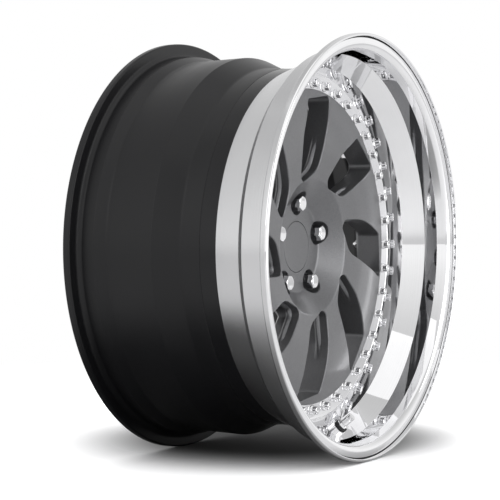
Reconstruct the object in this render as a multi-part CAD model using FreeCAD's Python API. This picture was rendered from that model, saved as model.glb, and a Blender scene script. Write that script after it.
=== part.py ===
import FreeCAD, Part
import math
import os

# Three-piece alloy wheel. The axle lies along Y, the street face looks to -Y, and +Z is up.
# Places along the axle are given as s, the distance from the middle of the rim towards the street face.

V = FreeCAD.Vector
CENTRE = V(0, 0, 0)
AXLE = V(0, 1, 0)
STREET = V(0, -1, 0)
ACROSS = V(1, 0, 0)
UP = V(0, 0, 1)
FULL_TURN = 360.0
TOP_TURN = 90.0
FOOT_TURN = 270.0
HEX_SIDES = 6
TOUCHING = 1e-6

# Rim standard
RIM_WIDTH = 254.0
BEAD_RADIUS = 241.3
FLANGE_RISE = 17.3
FLANGE_REACH = 9.6
FLANGE_WALL = 4.4
FLANGE_EDGE_THICK = 3.6
FLANGE_EDGE_ROUND = 2.4
FLANGE_EDGE_DRAFT = 0.8
FLANGE_HOLLOW = 9.0
FLANGE_FOOT_DROP = 1.0
BEAD_FILLET = 6.5

# Polished outer half
RING_FACE = 52.5
RING_THICK = 4.2
RING_BORE_INSET = 7.4
RING_CORNER_DROP = 26.0
RING_FILLET = 0.8
STEP_DEPTH = 64.0
STEP_DROP = 21.9
STEP_LEDGE = 3.5
STEP_UNDERCUT = 0.4
STEP_ROUND = 0.6
DISH_MID_DEPTH = 38.3
DISH_MID_DROP = 7.4
DISH_TOP_DEPTH = 20.6
DISH_TOP_DROP = 3.7
DISH_ROUND = 1.0
OUTER_SEAT_WIDTH = 33.0
OUTER_SEAT_DROP = 1.0
OUTER_HUMP_RUN = 8.0
OUTER_HUMP_DROP = 7.6

# Black inner half
WELL_DROP = 21.2
WELL_TAPER = 2.0
WELL_WIDTH = 46.0
WELL_RAMP = 30.0
WELL_ROUND = 12.0
DRUM_DROP = 5.7
DRUM_TAPER = 0.8
DRUM_EDGE_ROUND = 2.5
INNER_SEAT_WIDTH = 22.0
INNER_SEAT_DROP = 0.5
HUMP_RAMP = 14.0
HUMP_ROUND = 10.0
BARREL_WALL = 5.0
BARREL_FLANGE_THICK = 5.0

# Painted centre
SPIGOT_CLEARANCE = 0.3
SPIGOT_EDGE_RISE = 1.7
SPIGOT_EDGE_ROUND = 1.2
CROWN_RISE = 4.7
CROWN_INNER_RADIUS = 125.0
CROWN_INNER_ROUND = 200.0
CROWN_OUTER_RADIUS = 160.0
CROWN_OUTER_ROUND = 150.0
CENTRE_FLANGE_CLEARANCE = 3.1
CENTRE_FLANGE_BACK = 20.0
CENTRE_FLANGE_WIDTH = 26.0
CENTRE_FLANGE_STEP = 8.0
SPOKE_BACK = 24.0
BOWL_RADIUS = 84.5
BOWL_RIM_DROP = 3.6
BOWL_ROUND = 6.0
FLOOR_RADIUS = 56.0
FLOOR_FACE = 31.0
HUB_FACE = 8.0
HUB_PAD_RADIUS = 72.0
HUB_CONE_RUN = 20.0
HUB_BORE_RADIUS = 31.7
HUB_BORE_LENGTH = 10.0

# Windows between the spokes
WINDOW_COUNT = 8
WINDOW_TIP_TURN = 23.9
WINDOW_TIP_INSET = 2.5
WINDOW_TIP_ROUND = 9.0
WINDOW_HEEL_TURN = -5.1
WINDOW_HEEL_OFFSET = 11.7
WINDOW_HEEL_ROUND = 28.0
WINDOW_BACK_TURN = 14.5
WINDOW_BACK_RADIUS = 135.3
WINDOW_BACK_ROUND = 110.0
WINDOW_SHORT_TURN = 4.6
WINDOW_SHORT_INSET = 12.0
WINDOW_SHORT_ROUND = 6.5
WINDOW_LONG_TURN = -13.3
WINDOW_LONG_INSET = -0.2
WINDOW_LONG_ROUND = 5.5

# Fasteners
ASSEMBLY_COUNT = 40
ASSEMBLY_CIRCLE_DROP = 39.0
ASSEMBLY_FIRST_TURN = 0.0
BOLT_WASHER_RADIUS = 6.4
BOLT_WASHER_THICK = 2.4
BOLT_HEAD_FLATS = 8.6
BOLT_HEAD_HEIGHT = 6.2
BOLT_SHANK_RADIUS = 4.0
BOLT_HOLE_CLEARANCE = 0.2
BOLT_END = 2.5
NUT_FLATS = 12.0
NUT_HEIGHT = 9.0
LUG_COUNT = 5
LUG_CIRCLE_RADIUS = 54.0
LUG_FIRST_TURN = 90.0
LUG_FLATS = 17.0
LUG_HEAD_FACE = 40.6
LUG_TIP_INSET = 0.1
LUG_BEVEL_FLARE = 2.0
LUG_COLLAR_RADIUS = 11.4
LUG_COLLAR_THICK = 2.5
LUG_SHANK_RADIUS = 7.0
LUG_NECK_RADIUS = 6.4
LUG_NECK_START = 0.5
LUG_REACH = 28.0
LUG_HOLE_CLEARANCE = 0.4
LUG_POCKET_RADIUS = 14.5
LUG_SEAT = 22.0
LUG_SEAT_ANGLE = 30.0

# Centre cap
CAP_RADIUS = 31.6
CAP_GAP = 0.4
CAP_THICK = 5.5
CAP_EDGE_ROUND = 0.5
CAP_SKIRT_INSET = 3.4
CAP_SKIRT_WALL = 2.0
CAP_SKIRT_CLEARANCE = 0.3
CAP_HOOK = 1.0
CAP_HOOK_THICK = 2.5
CAP_SPRING_WIRE = 2.0
CAP_SHOULDER_THICK = 4.0
CAP_HOOK_ROOM = 0.8

# Seal between the two halves
SEAL_OFFSET = 9.5
SEAL_WIDTH = 3.2
SEAL_DEPTH = 2.0

# Valve
VALVE_TURN = FOOT_TURN
VALVE_DEPTH = 53.3
VALVE_LEAN = 50.0
VALVE_SEAT_RISE = 11.3
VALVE_BOSS_RADIUS = 9.4
VALVE_BOSS_ROOT = 2.0
VALVE_CUT_REACH = 30.0
VALVE_HOLE_RADIUS = 5.7
VALVE_GROMMET_RADIUS = 8.4
VALVE_GROMMET_THICK = 4.4
VALVE_NUT_FLATS = 13.0
VALVE_NUT_THICK = 3.6
VALVE_STEM_RADIUS = 3.6
VALVE_STEM_BORE_RADIUS = 2.0
VALVE_STEM_RISE = 10.0
VALVE_TAIL = 14.0
VALVE_CAP_RADIUS = 4.9
VALVE_CAP_LENGTH = 14.0
VALVE_CAP_CLEARANCE = 0.1
VALVE_CORE_RADIUS = 1.8
VALVE_CORE_LENGTH = 16.0

# Sizes that follow from the ones above
FLANGE_RADIUS = BEAD_RADIUS + FLANGE_RISE
HALF_WIDTH = RIM_WIDTH / 2.0
FRONT = HALF_WIDTH + FLANGE_REACH
FLANGE_FACE = HALF_WIDTH + FLANGE_WALL
FLANGE_EDGE_RADIUS = FLANGE_RADIUS - FLANGE_EDGE_THICK
ASSEMBLY_CIRCLE_RADIUS = BEAD_RADIUS - ASSEMBLY_CIRCLE_DROP
RING_BORE_RADIUS = ASSEMBLY_CIRCLE_RADIUS - RING_BORE_INSET
RING_CORNER_RADIUS = BEAD_RADIUS - RING_CORNER_DROP
WELL_RADIUS = BEAD_RADIUS - WELL_DROP
DRUM_RADIUS = BEAD_RADIUS - DRUM_DROP
SEAL_RADIUS = ASSEMBLY_CIRCLE_RADIUS + SEAL_OFFSET
CENTRE_FLANGE_RADIUS = WELL_RADIUS - BARREL_WALL - CENTRE_FLANGE_CLEARANCE
STEP_TOP = FRONT - STEP_DEPTH
STEP_TOP_RADIUS = BEAD_RADIUS - STEP_DROP
STEP_FOOT = STEP_TOP - STEP_UNDERCUT
STEP_FOOT_RADIUS = STEP_TOP_RADIUS + STEP_LEDGE
DISH_MID = FRONT - DISH_MID_DEPTH
DISH_MID_RADIUS = BEAD_RADIUS - DISH_MID_DROP
VALVE_PLACE = FRONT - VALVE_DEPTH
SEAM = RING_FACE - RING_THICK
BARREL_FLANGE_BACK = SEAM - BARREL_FLANGE_THICK
SPIGOT_RADIUS = RING_BORE_RADIUS - SPIGOT_CLEARANCE
SPIGOT_EDGE = RING_FACE + SPIGOT_EDGE_RISE
CROWN = SPIGOT_EDGE + CROWN_RISE
BOWL_RIM = CROWN - BOWL_RIM_DROP
CAP_SKIRT_RADIUS = CAP_RADIUS - CAP_SKIRT_INSET
CAP_SEAT = FLOOR_FACE - CAP_THICK
CAP_SHOULDER_BACK = CAP_SEAT - CAP_SHOULDER_THICK
CAP_HOOK_BACK = CAP_SHOULDER_BACK - CAP_HOOK_THICK
HUB_BORE_END = HUB_FACE + HUB_BORE_LENGTH
CAP_BORE_RADIUS = CAP_SKIRT_RADIUS + CAP_SKIRT_CLEARANCE
LUG_HOLE_RADIUS = LUG_SHANK_RADIUS + LUG_HOLE_CLEARANCE
NUT_END = CENTRE_FLANGE_BACK - NUT_HEIGHT


def rounded_wire(corners, place):
    """Closed wire through (a, b, radius) corners, each rounded; place maps (a, b) to a point."""
    spots = [place(a, b) for a, b, _ in corners]
    starts, edges = [], []
    for i, (_, _, radius) in enumerate(corners):
        before = spots[i - 1] - spots[i]
        after = spots[(i + 1) % len(spots)] - spots[i]
        before.normalize()
        after.normalize()
        half = before.getAngle(after) / 2.0
        if radius == 0:
            starts.append((spots[i], spots[i]))
            continue
        run = radius / math.tan(half)
        middle = before + after
        middle.normalize()
        top = spots[i] + middle * (radius / math.sin(half) - radius)
        first, last = spots[i] + before * run, spots[i] + after * run
        edges.append(Part.Arc(first, top, last).toShape())
        starts.append((first, last))
    for i, (_, last) in enumerate(starts):
        following = starts[(i + 1) % len(starts)][0]
        if last.distanceToPoint(following) > TOUCHING:
            edges.append(Part.makeLine(last, following))
    return Part.Wire(Part.__sortEdges__(edges))


def turned(corners):
    """Solid turned about the axle from (s, radius, corner radius) corners."""
    wire = rounded_wire(corners, lambda s, r: V(r, -s, 0))
    return Part.Face(wire).revolve(CENTRE, AXLE, FULL_TURN)


def on_circle(radius, s, turn):
    """Point at a radius and a turn in degrees, measured from +X towards +Z."""
    angle = math.radians(turn)
    return V(radius * math.cos(angle), -s, radius * math.sin(angle))


def rod(radius, s_from, s_to, at=CENTRE):
    """Cylinder along the axle between two places on it."""
    return Part.makeCylinder(radius, s_to - s_from, V(at.x, -s_from, at.z), STREET)


def hexagon(flats, base, direction, height, across):
    """Hexagonal prism; across points to one of its corners."""
    corner = flats / math.sqrt(3.0)
    side = direction.cross(across)
    points = []
    for k in range(HEX_SIDES + 1):
        angle = math.radians(FULL_TURN * k / HEX_SIDES)
        points.append(base + across * (corner * math.cos(angle)) + side * (corner * math.sin(angle)))
    return Part.Face(Part.makePolygon(points)).extrude(direction * height)


def spread(shape, count, first_turn):
    """Copies of a shape, evenly round the axle; the shape itself stands at turn 0."""
    copies = []
    for k in range(count):
        copy = shape.copy()
        copy.rotate(CENTRE, AXLE, -(first_turn + k * FULL_TURN / count))
        copies.append(copy)
    return copies


def dish_radius(s):
    """Inner radius of the polished dish at a place on its flared wall, above the step."""
    flare = (DISH_MID_RADIUS - STEP_FOOT_RADIUS) / (DISH_MID - STEP_FOOT)
    return STEP_FOOT_RADIUS + flare * (s - STEP_FOOT)


VALVE_AXIS = V(0, -math.sin(math.radians(VALVE_LEAN)), math.cos(math.radians(VALVE_LEAN)))
VALVE_FOOT = V(0, -VALVE_PLACE, -dish_radius(VALVE_PLACE))


def along_valve(distance):
    """Point on the valve's axis, measured from the dish wall."""
    return VALVE_FOOT + VALVE_AXIS * distance


def valve_rod(radius, start, length):
    return Part.makeCylinder(radius, length, along_valve(start), VALVE_AXIS)


def turn_to_valve(shape):
    """Swing a shape from the foot of the wheel round to the valve's place."""
    shape.rotate(CENTRE, AXLE, FOOT_TURN - VALVE_TURN)
    return shape


def outer_lip():
    seat_end = HALF_WIDTH - OUTER_SEAT_WIDTH
    seat_radius = BEAD_RADIUS - OUTER_SEAT_DROP
    lip = turned([
        (SEAM, RING_BORE_RADIUS, 0),
        (SEAM, WELL_RADIUS, 0),
        (seat_end - OUTER_HUMP_RUN, seat_radius - OUTER_HUMP_DROP, 0),
        (seat_end, seat_radius, 0),
        (HALF_WIDTH, BEAD_RADIUS, BEAD_FILLET),
        (HALF_WIDTH, FLANGE_RADIUS, FLANGE_EDGE_ROUND),
        (FRONT, FLANGE_RADIUS, FLANGE_EDGE_ROUND),
        (FRONT, FLANGE_EDGE_RADIUS, 0),
        (FLANGE_FACE, FLANGE_EDGE_RADIUS - FLANGE_EDGE_DRAFT, 0),
        (FLANGE_FACE, BEAD_RADIUS - FLANGE_FOOT_DROP, FLANGE_HOLLOW),
        (FRONT - DISH_TOP_DEPTH, BEAD_RADIUS - DISH_TOP_DROP, 0),
        (DISH_MID, DISH_MID_RADIUS, DISH_ROUND),
        (STEP_FOOT, STEP_FOOT_RADIUS, STEP_ROUND),
        (STEP_TOP, STEP_TOP_RADIUS, STEP_ROUND),
        (RING_FACE, RING_CORNER_RADIUS, RING_FILLET),
        (RING_FACE, RING_BORE_RADIUS, 0),
    ])
    low_s, high_s = VALVE_PLACE - VALVE_CUT_REACH, VALVE_PLACE + VALVE_CUT_REACH
    inside = turned([
        (low_s, 0, 0),
        (low_s, dish_radius(low_s) + VALVE_BOSS_ROOT, 0),
        (high_s, dish_radius(high_s) + VALVE_BOSS_ROOT, 0),
        (high_s, 0, 0),
    ])
    boss = valve_rod(VALVE_BOSS_RADIUS, -VALVE_CUT_REACH, VALVE_CUT_REACH + VALVE_SEAT_RISE).common(inside)
    hole = valve_rod(VALVE_HOLE_RADIUS, -VALVE_CUT_REACH, 2.0 * VALVE_CUT_REACH)
    return lip.fuse(turn_to_valve(boss)).removeSplitter().cut([turn_to_valve(hole)] + bolt_holes())


def inner_barrel():
    back = -FRONT
    seat_end = -HALF_WIDTH + INNER_SEAT_WIDTH
    drum_back = seat_end + HUMP_RAMP
    well_back = SEAM - WELL_WIDTH
    drum_front = well_back - WELL_RAMP
    inner_drum = DRUM_RADIUS - BARREL_WALL
    inner_well = WELL_RADIUS - BARREL_WALL
    barrel = turned([
        (SEAM, RING_BORE_RADIUS, 0),
        (SEAM, WELL_RADIUS, 0),
        (well_back, WELL_RADIUS + WELL_TAPER, WELL_ROUND),
        (drum_front, DRUM_RADIUS + DRUM_TAPER, DRUM_EDGE_ROUND),
        (drum_back, DRUM_RADIUS - DRUM_TAPER, HUMP_ROUND),
        (seat_end, BEAD_RADIUS - INNER_SEAT_DROP, 0),
        (-HALF_WIDTH, BEAD_RADIUS, BEAD_FILLET),
        (-HALF_WIDTH, FLANGE_RADIUS, FLANGE_EDGE_ROUND),
        (back, FLANGE_RADIUS, FLANGE_EDGE_ROUND),
        (back, FLANGE_EDGE_RADIUS, 0),
        (-FLANGE_FACE, FLANGE_EDGE_RADIUS - FLANGE_EDGE_DRAFT, 0),
        (-FLANGE_FACE, BEAD_RADIUS - BARREL_WALL, FLANGE_HOLLOW),
        (seat_end, BEAD_RADIUS - BARREL_WALL - INNER_SEAT_DROP, 0),
        (drum_back, inner_drum - DRUM_TAPER, 0),
        (drum_front, inner_drum + DRUM_TAPER, 0),
        (well_back, inner_well + WELL_TAPER, 0),
        (BARREL_FLANGE_BACK, inner_well, 0),
        (BARREL_FLANGE_BACK, RING_BORE_RADIUS, 0),
    ])
    return barrel.cut([rim_seal()] + bolt_holes())


def bolt_holes():
    """Clearance holes of the assembly bolts, right through the three clamped flanges."""
    hole = rod(BOLT_SHANK_RADIUS + BOLT_HOLE_CLEARANCE, HUB_FACE, FRONT, V(ASSEMBLY_CIRCLE_RADIUS, 0, 0))
    return spread(hole, ASSEMBLY_COUNT, ASSEMBLY_FIRST_TURN)


def rim_seal():
    groove_floor = SEAM - SEAL_DEPTH
    inner, outer = SEAL_RADIUS - SEAL_WIDTH / 2.0, SEAL_RADIUS + SEAL_WIDTH / 2.0
    return turned([(SEAM, inner, 0), (SEAM, outer, 0), (groove_floor, outer, 0), (groove_floor, inner, 0)])


def window_prism():
    """One window between two spokes, standing about the top of the wheel, cut right through."""
    corners = [
        (BOWL_RADIUS - WINDOW_TIP_INSET, WINDOW_TIP_TURN, WINDOW_TIP_ROUND),
        (WINDOW_BACK_RADIUS, WINDOW_BACK_TURN, WINDOW_BACK_ROUND),
        (SPIGOT_RADIUS - WINDOW_SHORT_INSET, WINDOW_SHORT_TURN, WINDOW_SHORT_ROUND),
        (SPIGOT_RADIUS - WINDOW_LONG_INSET, WINDOW_LONG_TURN, WINDOW_LONG_ROUND),
        (BOWL_RADIUS + WINDOW_HEEL_OFFSET, WINDOW_HEEL_TURN, WINDOW_HEEL_ROUND),
    ]
    wire = rounded_wire(corners, lambda radius, turn: on_circle(radius, HUB_FACE, TOP_TURN + turn))
    return Part.Face(wire).extrude(STREET * (FRONT - HUB_FACE))


def lug_cut():
    """Pocket, seat and hole of one lug bolt, at turn 0."""
    at = V(LUG_CIRCLE_RADIUS, 0, 0)
    pocket = rod(LUG_POCKET_RADIUS, LUG_SEAT, FRONT, at)
    cone_depth = (LUG_COLLAR_RADIUS - LUG_HOLE_RADIUS) / math.tan(math.radians(LUG_SEAT_ANGLE))
    seat = Part.makeCone(LUG_HOLE_RADIUS, LUG_COLLAR_RADIUS, cone_depth,
                         V(at.x, -(LUG_SEAT - cone_depth), 0), STREET)
    hole = rod(LUG_HOLE_RADIUS, HUB_FACE - LUG_REACH, LUG_SEAT, at)
    return pocket.fuse(seat).fuse(hole)


def wheel_centre():
    hook_room = CAP_SKIRT_RADIUS + CAP_HOOK + CAP_HOOK_ROOM
    flange_inner = CENTRE_FLANGE_RADIUS - CENTRE_FLANGE_WIDTH
    blank = turned([
        (HUB_FACE, HUB_BORE_RADIUS, 0),
        (HUB_FACE, HUB_PAD_RADIUS, 0),
        (SPOKE_BACK, HUB_PAD_RADIUS + HUB_CONE_RUN, 0),
        (SPOKE_BACK, flange_inner - CENTRE_FLANGE_STEP, 0),
        (CENTRE_FLANGE_BACK, flange_inner, 0),
        (CENTRE_FLANGE_BACK, CENTRE_FLANGE_RADIUS, 0),
        (BARREL_FLANGE_BACK, CENTRE_FLANGE_RADIUS, 0),
        (BARREL_FLANGE_BACK, SPIGOT_RADIUS, 0),
        (SPIGOT_EDGE, SPIGOT_RADIUS, SPIGOT_EDGE_ROUND),
        (CROWN, CROWN_OUTER_RADIUS, CROWN_OUTER_ROUND),
        (CROWN, CROWN_INNER_RADIUS, CROWN_INNER_ROUND),
        (BOWL_RIM, BOWL_RADIUS, BOWL_ROUND),
        (FLOOR_FACE, FLOOR_RADIUS, BOWL_ROUND),
        (FLOOR_FACE, CAP_RADIUS + CAP_GAP, 0),
        (CAP_SEAT, CAP_RADIUS + CAP_GAP, 0),
        (CAP_SEAT, CAP_BORE_RADIUS, 0),
        (CAP_SHOULDER_BACK, CAP_BORE_RADIUS, 0),
        (CAP_SHOULDER_BACK, hook_room, 0),
        (HUB_BORE_END, hook_room, 0),
        (HUB_BORE_END, HUB_BORE_RADIUS, 0),
    ])
    cuts = spread(window_prism(), WINDOW_COUNT, 0.0) + spread(lug_cut(), LUG_COUNT, LUG_FIRST_TURN)
    return blank.cut(cuts + bolt_holes())


def centre_cap():
    inner = CAP_SKIRT_RADIUS - CAP_SKIRT_WALL
    plate_back = CAP_SEAT + CAP_THICK / 2.0
    return turned([
        (FLOOR_FACE, 0, 0),
        (FLOOR_FACE, CAP_RADIUS, CAP_EDGE_ROUND),
        (CAP_SEAT, CAP_RADIUS, 0),
        (CAP_SEAT, CAP_SKIRT_RADIUS, 0),
        (CAP_SHOULDER_BACK, CAP_SKIRT_RADIUS, 0),
        (CAP_SHOULDER_BACK, CAP_SKIRT_RADIUS + CAP_HOOK, 0),
        (CAP_HOOK_BACK, CAP_SKIRT_RADIUS, 0),
        (CAP_HOOK_BACK, inner, 0),
        (plate_back, inner, 0),
        (plate_back, 0, 0),
    ])


def cap_spring():
    outer = CAP_SKIRT_RADIUS - CAP_SKIRT_WALL
    inner = outer - CAP_SPRING_WIRE
    back, front = CAP_HOOK_BACK, CAP_HOOK_BACK + CAP_SPRING_WIRE
    return turned([(front, outer, 0), (front, inner, 0), (back, inner, 0), (back, outer, 0)])


def lug_bolt():
    at = V(LUG_CIRCLE_RADIUS, 0, 0)
    collar_top = LUG_SEAT + LUG_COLLAR_THICK
    cone_depth = (LUG_COLLAR_RADIUS - LUG_NECK_RADIUS) / math.tan(math.radians(LUG_SEAT_ANGLE))
    cone = Part.makeCone(LUG_NECK_RADIUS, LUG_COLLAR_RADIUS, cone_depth,
                         V(at.x, -(LUG_SEAT - cone_depth), 0), STREET)
    head_foot = V(at.x, -collar_top, 0)
    head_height = LUG_HEAD_FACE - collar_top
    tip_radius = LUG_FLATS / 2.0 - LUG_TIP_INSET
    bevel_radius = tip_radius + head_height * LUG_BEVEL_FLARE
    bevel = Part.makeCone(bevel_radius, tip_radius, head_height, head_foot, STREET)
    head = hexagon(LUG_FLATS, head_foot, STREET, head_height, ACROSS).common(bevel)
    collar = rod(LUG_COLLAR_RADIUS, LUG_SEAT, collar_top, at)
    thread_end = HUB_FACE - LUG_NECK_START
    thread = rod(LUG_SHANK_RADIUS, HUB_FACE - LUG_REACH, thread_end, at)
    neck = rod(LUG_NECK_RADIUS, thread_end, LUG_SEAT - cone_depth, at)
    return neck.fuse([thread, cone, collar, head]).removeSplitter()


def assembly_bolt():
    """Collar bolt with a twelve-point head, made of two hexagons."""
    at = V(ASSEMBLY_CIRCLE_RADIUS, 0, 0)
    collar = rod(BOLT_WASHER_RADIUS, RING_FACE, RING_FACE + BOLT_WASHER_THICK, at)
    shank = rod(BOLT_SHANK_RADIUS, NUT_END - BOLT_END, RING_FACE, at)
    base = V(at.x, -(RING_FACE + BOLT_WASHER_THICK), 0)
    points = [hexagon(BOLT_HEAD_FLATS, base, STREET, BOLT_HEAD_HEIGHT, across) for across in (ACROSS, UP)]
    return collar.fuse([shank] + points).removeSplitter()


def assembly_nut():
    at = V(ASSEMBLY_CIRCLE_RADIUS, 0, 0)
    body = hexagon(NUT_FLATS, V(at.x, -NUT_END, 0), STREET, NUT_HEIGHT, ACROSS)
    return body.cut(rod(BOLT_SHANK_RADIUS, NUT_END, CENTRE_FLANGE_BACK, at))


def valve_grommet():
    rubber = valve_rod(VALVE_GROMMET_RADIUS, VALVE_SEAT_RISE, VALVE_GROMMET_THICK)
    return turn_to_valve(rubber.cut(valve_rod(VALVE_STEM_RADIUS, 0, VALVE_SEAT_RISE + VALVE_STEM_RISE)))


def valve_nut():
    start = VALVE_SEAT_RISE + VALVE_GROMMET_THICK
    nut = hexagon(VALVE_NUT_FLATS, along_valve(start), VALVE_AXIS, VALVE_NUT_THICK, ACROSS)
    return turn_to_valve(nut.cut(valve_rod(VALVE_STEM_RADIUS, 0, start + VALVE_STEM_RISE)))


def valve_stem_top():
    return VALVE_SEAT_RISE + VALVE_GROMMET_THICK + VALVE_NUT_THICK + VALVE_STEM_RISE


def valve_stem():
    length = VALVE_TAIL + valve_stem_top()
    stem = valve_rod(VALVE_STEM_RADIUS, -VALVE_TAIL, length)
    return turn_to_valve(stem.cut(valve_rod(VALVE_STEM_BORE_RADIUS, -VALVE_TAIL, length)))


def valve_core():
    start = valve_stem_top() - VALVE_CORE_LENGTH
    return turn_to_valve(valve_rod(VALVE_CORE_RADIUS, start, VALVE_CORE_LENGTH))


def valve_cap():
    start = VALVE_SEAT_RISE + VALVE_GROMMET_THICK + VALVE_NUT_THICK
    shell = valve_rod(VALVE_CAP_RADIUS, start, VALVE_CAP_LENGTH)
    room = valve_rod(VALVE_STEM_RADIUS + VALVE_CAP_CLEARANCE, start, VALVE_STEM_RISE + VALVE_CAP_CLEARANCE)
    return turn_to_valve(shell.cut(room))


NODES = {
    "outer_lip": outer_lip(),
    "inner_barrel": inner_barrel(),
    "rim_seal": rim_seal(),
    "wheel_centre": wheel_centre(),
    "centre_cap": centre_cap(),
    "cap_spring": cap_spring(),
    "lug_bolts": Part.makeCompound(spread(lug_bolt(), LUG_COUNT, LUG_FIRST_TURN)),
    "assembly_bolts": Part.makeCompound(spread(assembly_bolt(), ASSEMBLY_COUNT, ASSEMBLY_FIRST_TURN)),
    "assembly_nuts": Part.makeCompound(spread(assembly_nut(), ASSEMBLY_COUNT, ASSEMBLY_FIRST_TURN)),
    "valve_grommet": valve_grommet(),
    "valve_nut": valve_nut(),
    "valve_stem": valve_stem(),
    "valve_core": valve_core(),
    "valve_cap": valve_cap(),
}

os.makedirs("parts", exist_ok=True)
for name, shape in NODES.items():
    shape.exportStep(os.path.join("parts", name + ".step"))
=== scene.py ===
"""Looks of a three-piece alloy wheel, laid out as a Blender add-on that also runs as a script.

The axle lies along Y and the street face looks to -Y. Places along the axle are given as s, the distance
from the middle of the rim towards the street face, and shapes are worked out in millimetres.
"""

import math
from types import SimpleNamespace

import bmesh
import bpy
from bpy.props import FloatProperty, FloatVectorProperty, IntProperty, PointerProperty
from mathutils import Matrix, Vector


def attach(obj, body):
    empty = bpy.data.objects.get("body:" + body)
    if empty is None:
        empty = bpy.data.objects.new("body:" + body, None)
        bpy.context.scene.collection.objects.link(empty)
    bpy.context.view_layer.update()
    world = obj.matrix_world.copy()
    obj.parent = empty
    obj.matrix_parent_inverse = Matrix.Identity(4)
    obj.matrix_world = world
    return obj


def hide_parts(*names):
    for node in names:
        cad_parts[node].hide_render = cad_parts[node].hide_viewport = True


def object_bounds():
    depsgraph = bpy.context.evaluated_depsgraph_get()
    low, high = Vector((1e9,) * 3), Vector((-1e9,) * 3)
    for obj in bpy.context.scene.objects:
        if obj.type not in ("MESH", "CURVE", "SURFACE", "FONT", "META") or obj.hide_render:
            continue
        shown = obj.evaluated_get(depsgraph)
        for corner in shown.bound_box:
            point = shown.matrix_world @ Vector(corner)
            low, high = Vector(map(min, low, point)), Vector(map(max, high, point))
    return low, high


bl_info = {
    "name": "Three-piece alloy wheel",
    "version": (1, 0, 0),
    "blender": (4, 5, 0),
    "location": "View3D > Sidebar > Wheel",
    "description": "Builds the polished, painted and plated surfaces of a bolted alloy wheel",
    "category": "Add Mesh",
}

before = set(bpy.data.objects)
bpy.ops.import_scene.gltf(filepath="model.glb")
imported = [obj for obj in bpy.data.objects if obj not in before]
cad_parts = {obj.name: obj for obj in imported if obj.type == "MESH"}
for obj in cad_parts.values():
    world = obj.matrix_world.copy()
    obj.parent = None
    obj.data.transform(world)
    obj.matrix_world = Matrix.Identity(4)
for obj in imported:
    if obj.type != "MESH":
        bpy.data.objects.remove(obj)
CAD_BOX = [list(corner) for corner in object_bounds()]

MM = 0.001
BODY = "root"
STREET = Vector((0.0, -1.0, 0.0))
FULL_TURN = 2.0 * math.pi
QUARTER_TURN = math.pi / 2.0

# Fineness of the meshes
LATHE_SEGMENTS = 288
ARC_STEPS = 6
HEAD_SIDES = 48
OUTLINE_STEP = 4.0
FACE_STEP = 6.0

# Shapes of a fastener's section, and the radius of the ring that closes its end
HEX = 6
TWELVE_POINT = 12
END_RING = 0.4

# Edges sharper than these angles, in degrees, stay crisp
HEAD_CRISP = 25.0
RIM_CRISP = 28.0
TURNED_CRISP = 30.0
RUBBER_CRISP = 40.0

# Rounding of corners in millimetres
CORNER = 0.0
LINE_ROUND = 0.1
FINE_ROUND = 0.2
EDGE_BREAK = 0.3
BORE_ROUND = 0.5
SEAM_ROUND = 0.6
RIM_EDGE_ROUND = 0.9

# Parts of a noise's range that a look is spread over
NOISE_SPREAD = (0.3, 0.7)
SHEEN_SPREAD = (0.25, 0.75)
SPECK_SPREAD = (0.66, 0.74)


def length(name, millimetres, description):
    """A length setting, given in millimetres and kept in metres."""
    return FloatProperty(name=name, description=description, default=millimetres * MM, unit="LENGTH",
                         precision=5)


def angle(name, degrees, description):
    return FloatProperty(name=name, description=description, default=math.radians(degrees), subtype="ANGLE")


def colour(name, shade, description):
    return FloatVectorProperty(name=name, description=description, default=shade, size=3, subtype="COLOR",
                               min=0.0, max=1.0)


def share(name, value, description):
    return FloatProperty(name=name, description=description, default=value, min=0.0, max=1.0,
                         subtype="FACTOR")


def count(name, value, description):
    return IntProperty(name=name, description=description, default=value, min=1, subtype="UNSIGNED")


def position(name, spot, description):
    return FloatVectorProperty(name=name, description=description, default=spot, size=3,
                               subtype="TRANSLATION", unit="LENGTH")


class WheelRimSizes(bpy.types.PropertyGroup):
    """Sizes of the two rim halves."""

    half_width: length("Half width", 127.0, "Half of the rim's width between its flanges")
    bead_radius: length("Bead radius", 241.3, "Radius of the bead seats")
    bead_fillet: length("Bead fillet", 6.5, "Rounding between a bead seat and its flange")
    flange_radius: length("Flange radius", 258.6, "Outer radius of both flanges")
    flange_reach: length("Flange reach", 9.6, "How far a flange's rolled edge stands out past its tyre face")
    flange_wall: length("Flange wall", 4.4, "Thickness of a flange behind its rolled edge")
    edge_thick: length("Edge thickness", 3.6, "Thickness of a flange's rolled edge")
    edge_round: length("Edge rounding", 2.4, "Rounding of a flange's rolled edge")
    # The faces of this line are painted black, as painted shade in the groove
    line_depth: length("Line depth", 1.2, "Depth of the fine line turned beside the outer flange's edge")
    ring_face: length("Ring face", 52.5, "Place of the bolt ring's face along the axle")
    ring_thick: length("Ring thickness", 4.2, "Thickness of the bolt ring")
    ring_bore: length("Ring bore", 194.9, "Inner radius of the bolt ring")
    ring_corner: length("Ring corner", 215.3, "Radius where the bolt ring turns into the dish")
    step_top: length("Step top", 72.6, "Place of the dish's step along the axle")
    step_radius: length("Step radius", 219.4, "Radius of the dish's lower wall at the step")
    flare_top: length("Flare top", 98.3, "Place along the axle where the dish's flared wall ends")
    flare_radius: length("Flare radius", 235.1, "Radius where the dish's flared wall ends")
    dish_top: length("Dish top", 116.0, "Place along the axle where the dish meets its flange")
    dish_top_radius: length("Dish top radius", 236.25, "Radius where the dish meets its flange")
    well_radius: length("Well radius", 220.1, "Radius of the drop well at the seam")
    well_width: length("Well width", 46.0, "Width of the drop well behind the seam")
    drum_radius: length("Drum radius", 235.6, "Radius of the black barrel behind the well")
    barrel_wall: length("Barrel wall", 5.0, "Wall of the black barrel")
    gloss_line: length("Gloss line", 27.0, "Place along the axle of the line at the glossier band's end")


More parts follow.
